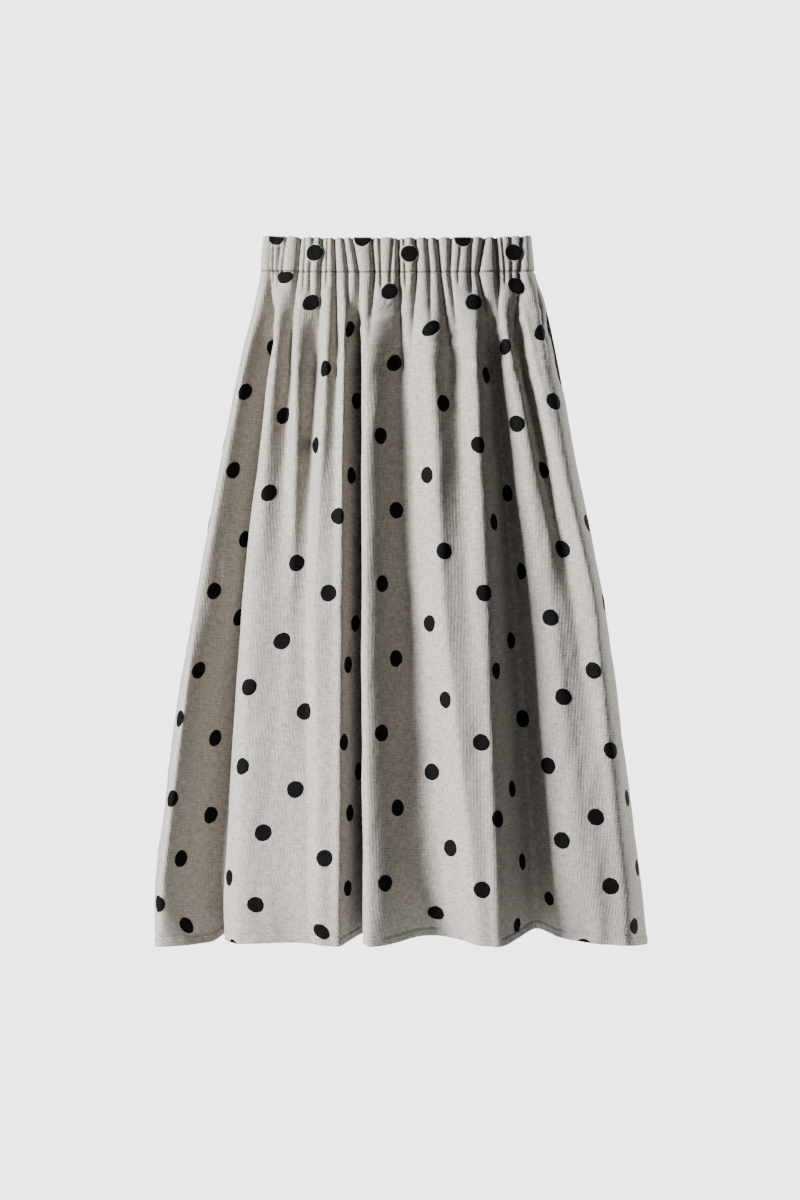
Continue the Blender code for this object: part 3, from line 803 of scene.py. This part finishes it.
def build_panel_cloth(name, folds, gathers, creases, facing, seed):
    """The fine cloth of one panel, with its hem turned up inside and its side seams turned in."""
    cloth = cloth_grid(folds, gathers, facing, panel_depths(), PANEL_COLUMNS)
    smooth = cloth_grid(folds, NO_GATHERS, facing, panel_depths(), PANEL_COLUMNS)
    cloth.patches = dot_patches(cloth, panel_dots(facing < 0))
    inner = smooth.place - PANEL_CALM_IN * smooth.out * (cloth.depth[:, None, None] < PANEL_CALM_END)
    place = calm_under_dots(cloth, cloth.place, inner, cloth.patches, PANEL_CALM)
    detail = crease_depths(cloth, creases, seed)
    detail *= np.clip((cloth.depth[:, None] - WAIST_DEPTH) / CREASES_GROW, 0.0, 1.0)
    detail += dot_puckers(cloth, cloth.patches) + hem_puckers(cloth, seed)
    edge = np.minimum(cloth.share, 1.0 - cloth.share)[None, :] / SIDE_CALM
    place = place + grid_normals(place, facing) * (detail * np.clip(edge, 0.0, 1.0))[..., None]
    if facing > 0:
        open_pocket_mouth(cloth, place)
    cloth.place = place
    cloth.normal = grid_normals(place, facing)
    rows = with_seams_turned(with_hem_turned(cloth), facing)
    faces = grid_faces(rows.shape[0], rows.shape[1], flip=facing < 0)
    return make_mesh(name, rows, faces, panel_coordinates(cloth)), cloth


# ---------------------------------------------------------------- the waistband
BAND_INNER = 0.0026        # from the casing's outer cloth to its inner one
BAND_OUT_ROWS = 26
BAND_TOP = 0.0009          # how far the outer cloth's top row lies below the waist's top
BAND_TOP_FOLD = (          # rows of the fold over the top: how far in, as a share, and how high
    (0.18, 0.00065), (0.50, 0.0009), (0.82, 0.00065),
)
BAND_EDGE_IN = 0.0009      # how far the lower edge turns in
BAND_CALM_IN = 0.0016      # how far in the cloth lies under a dot
BAND_PUFF = 0.0005         # how far the casing puffs out between its seam and its top
BAND_PUFF_FULL = 0.6       # less for a fuller puff
BAND_UNEVEN = ((0.006, 0.03, 1.0, 5.0),)    # metres across and down, height, seed
BAND_CLOTH_LENGTH = 1.132  # of the weave round the band
BAND_EDGE_CLOTH = -0.0415  # where the lower edge lies on the cloth
BAND_FOLD_CLOTH = 0.001    # cloth from row to row over the fold
FRONT_BAND_DOTS = (        # across and depth of each dot on the waistband
    (-0.1413, 0.0012), (-0.0957, 0.0186), (-0.0425, 0.0012), (0.0108, 0.0192),
    (0.0719, 0.0018), (0.1286, 0.0188),
)
BACK_BAND_DOTS = (         # the same two rows, run on round the back
    (-0.1210, 0.0190), (-0.0680, 0.0012), (-0.0140, 0.0186), (0.0400, 0.0014),
    (0.0930, 0.0188), (0.1430, 0.0012),
)


def band_dots(folds, facing, dots):
    """Share across and depth of each dot on one half of the waistband."""
    cut = section(folds, facing, WAIST_DEPTH / 2)
    shares = [float(np.interp(x, cut.bare_x, cut.along) / cut.along[-1]) for x, _ in dots]
    return [(share, depth) for share, (_, depth) in zip(shares, dots)]


def band_half(folds, gathers, facing, depths, dots):
    """The casing's outer cloth on the front or the back, calmed under its dots and puffed out."""
    columns = BAND_COLUMNS // 2 + 1
    half = cloth_grid(folds, gathers, facing, depths, columns)
    plain = cloth_grid(folds, NO_GATHERS, facing, depths, columns)
    shares = band_dots(folds, facing, dots)
    half.patches = [(share, depth, float(half.length[0])) for share, depth in shares]
    calm = plain.place - BAND_CALM_IN * plain.out
    place = calm_under_dots(half, half.place, calm, half.patches, BAND_CALM)
    puff = np.sin(math.pi * np.clip(half.depth / WAIST_DEPTH, 0.0, 1.0)) ** BAND_PUFF_FULL
    uneven = unevenness(place[:, :, 0], half.depth[:, None], BAND_UNEVEN, facing)
    half.place = place + half.out * (BAND_PUFF * puff[:, None] * (1.0 + uneven))[..., None]
    half.normal = grid_normals(half.place, facing)
    return half


def build_waistband():
    """The gathered casing: up the outside from the seam, over the top fold and down inside."""
    depths = np.linspace(BAND_TOP, WAIST_DEPTH, BAND_OUT_ROWS)
    front = band_half(FRONT_FOLDS, FRONT_PULLS, 1.0, depths, FRONT_BAND_DOTS)
    back = band_half(BACK_FOLDS, BACK_PULLS, -1.0, depths, BACK_BAND_DOTS)
    ring = np.concatenate([front.place, back.place[:, -2:0:-1]], axis=1)
    out = np.concatenate([front.out, back.out[:, -2:0:-1]], axis=1)
    fold = [ring[:1] - out[:1] * BAND_INNER * inward + (0.0, 0.0, rise) for inward, rise in BAND_TOP_FOLD]
    edge = ring[-1:] - out[-1:] * BAND_EDGE_IN
    inside = ring[::2] - out[::2] * BAND_INNER
    rows = np.concatenate([edge, ring[::-1], *fold, inside], axis=0)
    u = np.linspace(0.0, BAND_CLOTH_LENGTH, rows.shape[1])
    over = BAND_FOLD_CLOTH * np.arange(1, len(fold) + 2)
    v = np.concatenate([[BAND_EDGE_CLOTH], -depths[::-1], over[:-1], over[-1] + depths[::2]])
    uv = np.stack(np.meshgrid(u, v), -1).reshape(-1, 2)
    faces = grid_faces(rows.shape[0], rows.shape[1], closed=True, flip=True)
    return make_mesh("waistband_casing", rows, faces, uv), front, back


# ---------------------------------------------------------------- the embroidered dots
DOT_RINGS = (0.0, 0.2, 0.4, 0.6, 0.8, 0.94, 1.0, 1.015)           # shares of the radius
DOT_HEIGHTS = (1.0, 1.0, 1.0, 0.98, 0.92, 0.7, 0.35, -0.35)       # shares of how far it is raised
DOT_SIDES = 28
DOT_UNEVEN = ((3, 0.018, 1.0), (7, 0.012, 2.3))    # waves round the edge, height, step from dot to dot
DOT_EDGE_SHARE = 0.0005    # how near a side seam a dot's points may lie, as a share across
DOT_CUT_RING = 0.9         # the rings beyond this are sunk where the dot is cut off
DOT_CUT_SUNK = -0.0002
DOT_LEAST = 0.002          # a dot that shows less than this across or down is left out
DOT_THREAD_SHIFT = 0.03    # along the embroidery's pattern from one dot to the next


def build_dots(name, cloth, low, high):
    """Raised embroidered dots lying on a cloth, cut off where the cloth ends."""
    verts, faces, uv = [], [], []
    angle = np.linspace(0.0, 2.0 * math.pi, DOT_SIDES, endpoint=False)
    rings = np.array(DOT_RINGS)[:, None]
    heights = np.array(DOT_HEIGHTS)[:, None] * DOT_RAISE
    for k, (share, depth, length) in enumerate(cloth.patches):
        uneven = 1.0 + sum(high_by * np.sin(waves * angle + step * k) for waves, high_by, step in DOT_UNEVEN)
        across = DOT_RADIUS * rings * np.cos(angle) * uneven
        down = DOT_RADIUS * rings * np.sin(angle) * uneven
        shares = np.clip(share + across / length, DOT_EDGE_SHARE, 1.0 - DOT_EDGE_SHARE)
        depths = np.clip(depth + down, low, high)
        if np.ptp(depths) < DOT_LEAST or np.ptp(shares) * length < DOT_LEAST:
            continue
        place = sample(cloth, cloth.place, shares, depths)
        normal = sample(cloth, cloth.normal, shares, depths)
        cut = (depths != depth + down) | (shares != share + across / length)
        lift = np.where(cut & (rings > DOT_CUT_RING), DOT_CUT_SUNK, heights)
        first = len(verts) * len(rings) * DOT_SIDES
        verts.append((place + normal * lift[..., None]).reshape(-1, 3))
        uv.append(np.stack([across, down], -1).reshape(-1, 2) + [DOT_THREAD_SHIFT * k, 0.0])
        faces.append(first + grid_faces(len(rings), DOT_SIDES, closed=True, flip=cloth.facing > 0))
    piece = make_mesh(name, np.concatenate(verts), np.concatenate(faces), np.concatenate(uv))
    weld_centres(piece.data)
    return piece


def weld_centres(mesh):
    """Join the points that lie on each other at the dots' middles."""
    work = bmesh.new()
    work.from_mesh(mesh)
    bmesh.ops.remove_doubles(work, verts=work.verts, dist=WELD)
    bmesh.ops.dissolve_degenerate(work, edges=work.edges, dist=WELD)
    work.to_mesh(mesh)
    work.free()


# ---------------------------------------------------------------- the stitches
WAIST_STITCH = (0.0022, 0.0009, 0.0009)    # length, gap and thickness
HEM_STITCH = (0.0024, 0.0008, 0.0004)
STITCH_SIDES = 6
STITCH_RINGS = (           # shares of the length and of the thickness
    (-0.5, 0.35), (-0.38, 0.9), (0.0, 1.0), (0.38, 0.9), (0.5, 0.35),
)
STITCH_RISE = 0.25         # how far its middle lies above the cloth, as a share of the thickness
STITCH_SINK = 0.35         # how far its ends dip towards the cloth
STITCH_FLAT = 0.8          # how high it is, as a share of how wide


def build_stitches(name, line, normal, stitch):
    """A row of stitches along a line of points on the cloth, each a small rounded thread."""
    length, gap, thick = stitch
    along = np.concatenate(([0.0], np.cumsum(np.linalg.norm(np.diff(line, axis=0), axis=1))))
    verts, faces = [], []
    angle = np.linspace(0.0, 2.0 * math.pi, STITCH_SIDES, endpoint=False)[:, None]
    spots, sizes = np.array(STITCH_RINGS).T
    for k in range(int(along[-1] / (length + gap))):
        middle = (k + 0.5) * (length + gap)
        centre = np.stack([np.interp(middle + spots * length, along, line[:, j]) for j in range(3)], -1)
        up = np.array([np.interp(middle, along, normal[:, j]) for j in range(3)])
        run = centre[-1] - centre[0]
        run = run / np.linalg.norm(run)
        up = up - run * up.dot(run)
        up = up / max(np.linalg.norm(up), TINY)
        side = np.cross(run, up)
        rise = STITCH_RISE * thick - STITCH_SINK * (1.0 - sizes) * thick
        round_it = np.cos(angle) * side + np.sin(angle) * up * STITCH_FLAT
        base = len(verts) * len(STITCH_RINGS) * STITCH_SIDES
        ring = centre[:, None] + up * rise[:, None, None] + (sizes * thick / 2)[:, None, None] * round_it
        verts.append(ring.reshape(-1, 3))
        faces.append(base + grid_faces(len(STITCH_RINGS), STITCH_SIDES, closed=True, flip=True))
    return make_mesh(name, np.concatenate(verts), np.concatenate(faces))


# ---------------------------------------------------------------- the pocket bag
BAG_TOP_CORNER = (0.124, 0.100)     # inner end of the pocket bag's top edge: across, depth
BAG_LOW_CORNER = (0.128, 0.262)     # inner end of its lower edge
BAG_BELLY = 0.016          # how far its lower edge bulges
BAG_HALF = 0.0044          # half its fullness at the mouth
BAG_EDGE_HALF = 0.0006     # half the space left along its sewn edges
BAG_INSET = 0.0040         # from the panel's outside to the bag's mouth
BAG_MARGIN = 0.04          # how far within the mouth's ends the bag starts, as a share
BAG_TAPER = 0.98           # how much of its fullness is lost at the inner edge
BAG_TAPER_LATE = 4         # more for a fuller bag that closes later
BAG_UNEVEN = ((0.014, 0.03, 0.0005, 4.0),)  # metres across and down, height, seed
BAG_CLOTH_ACROSS = 0.06    # of the weave, from the mouth to the inner edge
BAG_ACROSS = 40
BAG_DOWN = 60


def build_pocket_bag():
    """A thin pouch of linen that hangs inside from the pocket's mouth."""
    verts, uv = [], []
    for down in np.linspace(0.0, 1.0, BAG_DOWN):
        mouth_share = between(BAG_MARGIN, 1.0 - BAG_MARGIN, down)
        mouth_depth = between(MOUTH_TOP, MOUTH_END, mouth_share)
        gape = math.sin(math.pi * mouth_share) ** MOUTH_ROUND
        mouth_x = oval(mouth_depth)[1] - BAG_INSET - MOUTH_GAPE
        end_x, end_depth = between(np.array(BAG_TOP_CORNER), np.array(BAG_LOW_CORNER), down)
        inward = np.concatenate([np.linspace(0.0, 1.0, BAG_ACROSS), np.linspace(1.0, 0.0, BAG_ACROSS)[1:]])
        side = np.where(np.arange(len(inward)) < BAG_ACROSS, -1.0, 1.0)
        x = between(mouth_x, end_x, inward) + MOUTH_GAPE * (1.0 - inward) * (side > 0)
        depth = between(mouth_depth, end_depth, inward) + BAG_BELLY * down * np.sin(math.pi * inward)
        thin = np.sqrt(1.0 - BAG_TAPER * inward ** BAG_TAPER_LATE)
        y = side * between(BAG_EDGE_HALF, BAG_HALF, gape) * thin + unevenness(x, depth, BAG_UNEVEN, 0) * gape
        verts.append(np.stack([x, y, -depth], -1))
        uv.append(np.stack([side * (inward - 1.0) * BAG_CLOTH_ACROSS, -depth], -1))
    faces = grid_faces(BAG_DOWN, 2 * BAG_ACROSS - 1)
    return make_mesh("pocket_bag_cloth", np.concatenate(verts), faces, np.concatenate(uv))


# ---------------------------------------------------------------- colours and finishes
MIX_FIRST, MIX_SECOND, MIX_RESULT = 6, 7, 2    # a mix node's sockets for colours
WAVE_PACE = 20.0           # radians of a wave texture for each metre at a scale of 1


def colour(code):
    """An sRGB hex colour as linear red, green, blue and alpha."""
    parts = [int(code[k:k + 2], 16) / 255.0 for k in (1, 3, 5)]
    linear = [p / 12.92 if p <= 0.04045 else ((p + 0.055) / 1.055) ** 2.4 for p in parts]
    return (*linear, 1.0)


def wave_scale(spacing):
    """A wave texture's scale that gives one wave, over and under, for each two threads."""
    return 1.0 / spacing / WAVE_PACE * math.pi


def add(tree, kind, settings=None, links=None):
    """Add a node with its settings and its input links."""
    node = tree.nodes.new(kind)
    for key, value in (settings or {}).items():
        if isinstance(key, int) or key in node.inputs:
            node.inputs[key].default_value = value
        else:
            setattr(node, key, value)
    for key, output in (links or {}).items():
        tree.links.new(output, node.inputs[key])
    return node


def surface(name):
    """A new material and its tree, still without nodes."""
    material = bpy.data.materials.new(name)
    material.use_nodes = True
    tree = material.node_tree
    tree.nodes.clear()
    return material, tree


THREAD_SPACING = 0.0017    # real linen has a thread each 0.6 mm, drawn coarser so that it shows
YARN_WIDTH = 0.0016        # a yarn's mottling, drawn as coarse
SLUB_LENGTH = 0.009        # a thick place in a linen yarn
WEAVE_HEIGHT = 0.00035


def linen_material():
    """Plain-weave washed linen: matte and dry, with slubs that mottle it along both threads."""
    material, tree = surface("washed_linen")
    where = add(tree, "ShaderNodeUVMap", {"uv_map": "cloth"}).outputs[0]
    yarns, waves = {}, {}
    for way, wide, long in (("X", YARN_WIDTH, SLUB_LENGTH), ("Y", SLUB_LENGTH, YARN_WIDTH)):
        place = add(tree, "ShaderNodeMapping", {"Scale": (1 / wide, 1 / long, 1.0)}, {"Vector": where})
        yarns[way] = add(tree, "ShaderNodeTexNoise", {"Scale": 1.0, "Detail": 2.0},
                         {"Vector": place.outputs[0]})
        waves[way] = add(tree, "ShaderNodeTexWave", {
            "wave_type": "BANDS", "bands_direction": way,
            "Scale": wave_scale(THREAD_SPACING), "Distortion": 0.8, "Detail": 1.0,
        }, {"Vector": where})
    both = add(tree, "ShaderNodeMath", {"operation": "ADD"},
               {0: yarns["X"].outputs["Fac"], 1: yarns["Y"].outputs["Fac"]})
    tone = add(tree, "ShaderNodeMapRange", {"From Min": 0.7, "From Max": 1.3}, {"Value": both.outputs[0]})
    shade = add(tree, "ShaderNodeMix", {
        "data_type": "RGBA", MIX_FIRST: colour("#857F77"), MIX_SECOND: colour("#AFA9A1"),
    }, {0: tone.outputs[0]})
    weave = add(tree, "ShaderNodeMath", {"operation": "MULTIPLY"},
                {0: waves["X"].outputs["Fac"], 1: waves["Y"].outputs["Fac"]})
    relief = add(tree, "ShaderNodeMath", {"operation": "MULTIPLY_ADD", 1: 1.6},
                 {0: both.outputs[0], 2: weave.outputs[0]})
    bump = add(tree, "ShaderNodeBump", {"Strength": 0.7, "Distance": WEAVE_HEIGHT},
               {"Height": relief.outputs[0]})
    threads = add(tree, "ShaderNodeMapRange", {"To Min": 0.94, "To Max": 1.04}, {"Value": weave.outputs[0]})
    woven = add(tree, "ShaderNodeMix", {"data_type": "RGBA", "blend_type": "MULTIPLY", 0: 1.0},
                {MIX_FIRST: shade.outputs[MIX_RESULT], MIX_SECOND: threads.outputs[0]})
    body = add(tree, "ShaderNodeBsdfPrincipled", {
        "Base Color": colour("#9B958D"), "Roughness": 0.92, "IOR": 1.5, "Specular IOR Level": 0.25,
        "Sheen Weight": 0.12, "Sheen Roughness": 0.5,
    }, {"Base Color": woven.outputs[MIX_RESULT], "Normal": bump.outputs[0]})
    add(tree, "ShaderNodeOutputMaterial", None, {"Surface": body.outputs[0]})
    return material


THREAD_ROW = 0.0011        # satin stitches lie closer, drawn coarser so that they show
THREAD_PATCHES = 700.0     # uneven places in them for each metre, so 1.4 mm each
THREAD_HEIGHT = 0.0002


def embroidery_material():
    """Black rayon embroidery thread: dense satin stitches with a soft broken gleam."""
    material, tree = surface("black_embroidery")
    where = add(tree, "ShaderNodeUVMap", {"uv_map": "cloth"}).outputs[0]
    rows = add(tree, "ShaderNodeTexWave", {
        "wave_type": "BANDS", "bands_direction": "DIAGONAL",
        "Scale": wave_scale(THREAD_ROW), "Distortion": 1.5, "Detail": 2.0,
    }, {"Vector": where})
    patchy = add(tree, "ShaderNodeTexNoise", {"Scale": THREAD_PATCHES, "Detail": 2.0}, {"Vector": where})
    height = add(tree, "ShaderNodeMath", {"operation": "ADD"},
                 {0: rows.outputs["Fac"], 1: patchy.outputs["Fac"]})
    bump = add(tree, "ShaderNodeBump", {"Strength": 0.35, "Distance": THREAD_HEIGHT},
               {"Height": height.outputs[0]})
    tone = add(tree, "ShaderNodeMapRange", {"From Min": 0.6, "From Max": 1.5}, {"Value": height.outputs[0]})
    shade = add(tree, "ShaderNodeMix", {
        "data_type": "RGBA", MIX_FIRST: colour("#050505"), MIX_SECOND: colour("#0E0D0D"),
    }, {0: tone.outputs[0]})
    body = add(tree, "ShaderNodeBsdfPrincipled", {"Roughness": 0.85, "IOR": 1.48, "Specular IOR Level": 0.08},
               {"Base Color": shade.outputs[MIX_RESULT], "Normal": bump.outputs[0]})
    add(tree, "ShaderNodeOutputMaterial", None, {"Surface": body.outputs[0]})
    return material


THREAD_TWISTS = 900.0      # of a sewing thread for each metre, so 1.1 mm each
TWIST_SHADE, TWIST_HIGHLIGHT = 0.75, 1.2    # shares of the thread's colour in the painted shade between the twists and the painted highlight on them


def thread_material(name, code):
    """Spun polyester sewing thread: matte, with a slight twist whose painted shade and painted highlight
    break its tone.
    """
    material, tree = surface(name)
    where = add(tree, "ShaderNodeTexCoord")
    twist = add(tree, "ShaderNodeTexNoise", {"Scale": THREAD_TWISTS, "Detail": 1.0},
                {"Vector": where.outputs["Object"]})
    # painted shade and painted highlight of the twist, spread as soft noise along the thread
    dark, light = [(*(by * part for part in colour(code)[:3]), 1.0) for by in (TWIST_SHADE, TWIST_HIGHLIGHT)]
    shade = add(tree, "ShaderNodeMix", {"data_type": "RGBA", MIX_FIRST: dark, MIX_SECOND: light},
                {0: twist.outputs["Fac"]})
    body = add(tree, "ShaderNodeBsdfPrincipled", {"Roughness": 0.7, "IOR": 1.5},
               {"Base Color": shade.outputs[MIX_RESULT]})
    add(tree, "ShaderNodeOutputMaterial", None, {"Surface": body.outputs[0]})
    return material


# ---------------------------------------------------------------- the camera and the studio
FRAME_HEIGHT = 1.360       # what the photo's height spans at the skirt
CAMERA_HEIGHT = -0.4125
CAMERA_AWAY = 5.0
FRAME_MIDDLE_X = 0.0005
SKIRT_MIDDLE = Vector((0.0, 0.0, -0.4))    # what each lamp faces
LAMPS = (                  # name, place, size in metres, watts
    ("key", (-3.4, -2.15, 0.6), 1.1, 715.0),
    ("front_fill", (0.6, -4.0, 0.2), 2.5, 3.2),
    ("back_side", (3.4, 1.6, 0.3), 1.4, 260.0),
)
BACKDROP_GLOW = 4.45       # how bright the pale background is seen
SHADOW_FILL = 0.06         # how much light it sends into the shadows
FLOOR_LEVEL = -1.30
FLOOR_RADIUS = 1.0
FLOOR_SIDES = 96


def build_camera():
    """A level camera in front of the skirt, with a long lens as for a catalogue picture."""
    data = bpy.data.cameras.new("camera")
    data.sensor_fit = "VERTICAL"
    data.sensor_height = 36.0
    data.lens = data.sensor_height * CAMERA_AWAY / FRAME_HEIGHT
    camera = bpy.data.objects.new("camera", data)
    camera.location = (FRAME_MIDDLE_X, -CAMERA_AWAY, CAMERA_HEIGHT)
    camera.rotation_euler = (math.pi / 2, 0.0, 0.0)
    bpy.context.scene.collection.objects.link(camera)
    bpy.context.scene.camera = camera


def build_lamp(name, place, size, power):
    """A soft square lamp that faces the skirt."""
    data = bpy.data.lights.new(name, "AREA")
    data.shape = "SQUARE"
    data.size = size
    data.energy = power
    lamp = bpy.data.objects.new(name, data)
    lamp.location = place
    lamp.rotation_euler = (SKIRT_MIDDLE - Vector(place)).to_track_quat("-Z", "Y").to_euler()
    bpy.context.scene.collection.objects.link(lamp)


def build_world():
    """A pale background that sends only a little light into the shadows."""
    world = bpy.data.worlds.new("studio")
    bpy.context.scene.world = world
    world.use_nodes = True
    tree = world.node_tree
    tree.nodes.clear()
    seen = add(tree, "ShaderNodeBackground", {"Color": colour("#EAEAEA"), "Strength": BACKDROP_GLOW})
    fill = add(tree, "ShaderNodeBackground", {"Color": colour("#F2F3F5"), "Strength": SHADOW_FILL})
    path = add(tree, "ShaderNodeLightPath")
    both = add(tree, "ShaderNodeMixShader", None,
               {0: path.outputs["Is Camera Ray"], 1: fill.outputs[0], 2: seen.outputs[0]})
    add(tree, "ShaderNodeOutputWorld", None, {"Surface": both.outputs[0]})


def build_floor():
    """A round pale floor below the hanging skirt."""
    bpy.ops.mesh.primitive_circle_add(
        vertices=FLOOR_SIDES, radius=FLOOR_RADIUS, fill_type="NGON", location=(0.0, 0.0, FLOOR_LEVEL))
    floor = bpy.context.object
    floor.name = "floor"
    material, tree = surface("pale_floor")
    body = add(tree, "ShaderNodeBsdfPrincipled", {"Base Color": colour("#E4E4E4"), "Roughness": 0.9})
    add(tree, "ShaderNodeOutputMaterial", None, {"Surface": body.outputs[0]})
    floor.data.materials.append(material)


# ---------------------------------------------------------------- the garment
PANEL_DOT_ENDS = (WAIST_DEPTH + SEAM_GAP + 0.0004, HEM_DEPTH)    # depths between which dots show
BAND_DOT_ENDS = (0.0012, WAIST_DEPTH - 0.0006)
HEM_STITCH_DEPTH = HEM_DEPTH - HEM_TURN + 0.0015


def dress(piece, material, *nodes):
    """Give a piece its finish, and let it ride on the one body and stand for its solids."""
    piece.data.materials.clear()
    piece.data.materials.append(material)
    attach(piece, "root")
    if nodes:
        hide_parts(*nodes)


LINEN = linen_material()
EMBROIDERY = embroidery_material()
DARK_THREAD = thread_material("dark_thread", "#262320")
PALE_THREAD = thread_material("matching_thread", "#7C756B")

front, front_cloth = build_panel_cloth(
    "front_cloth", FRONT_FOLDS, FRONT_PULLS, FRONT_CREASES, facing=1.0, seed=11.0)
back, back_cloth = build_panel_cloth(
    "back_cloth", BACK_FOLDS, BACK_PULLS, BACK_CREASES, facing=-1.0, seed=23.0)
band, band_front, band_back = build_waistband()
dress(front, LINEN, "front_panel")
dress(back, LINEN, "back_panel")
dress(band, LINEN, "waistband")

panels = (("front", front_cloth), ("back", back_cloth))
band_halves = (("front", band_front), ("back", band_back))
for name, cloth in panels:
    dress(build_dots(f"{name}_dots", cloth, *PANEL_DOT_ENDS), EMBROIDERY)
for name, half in band_halves:
    dress(build_dots(f"waistband_dots_{name}", half, *BAND_DOT_ENDS), EMBROIDERY)
for name, half in band_halves:
    seam = build_stitches(f"waist_stitches_{name}", half.place[-2], half.normal[-2], WAIST_STITCH)
    dress(seam, DARK_THREAD)
for name, cloth in panels:
    row = int(np.searchsorted(cloth.depth, HEM_STITCH_DEPTH))
    hem = build_stitches(f"hem_stitches_{name}", cloth.place[row], cloth.normal[row], HEM_STITCH)
    dress(hem, PALE_THREAD)

pocket = build_pocket_bag()
dress(pocket, LINEN, "pocket_bag")
build_camera()
build_world()
for lamp in LAMPS:
    build_lamp(*lamp)
build_floor()
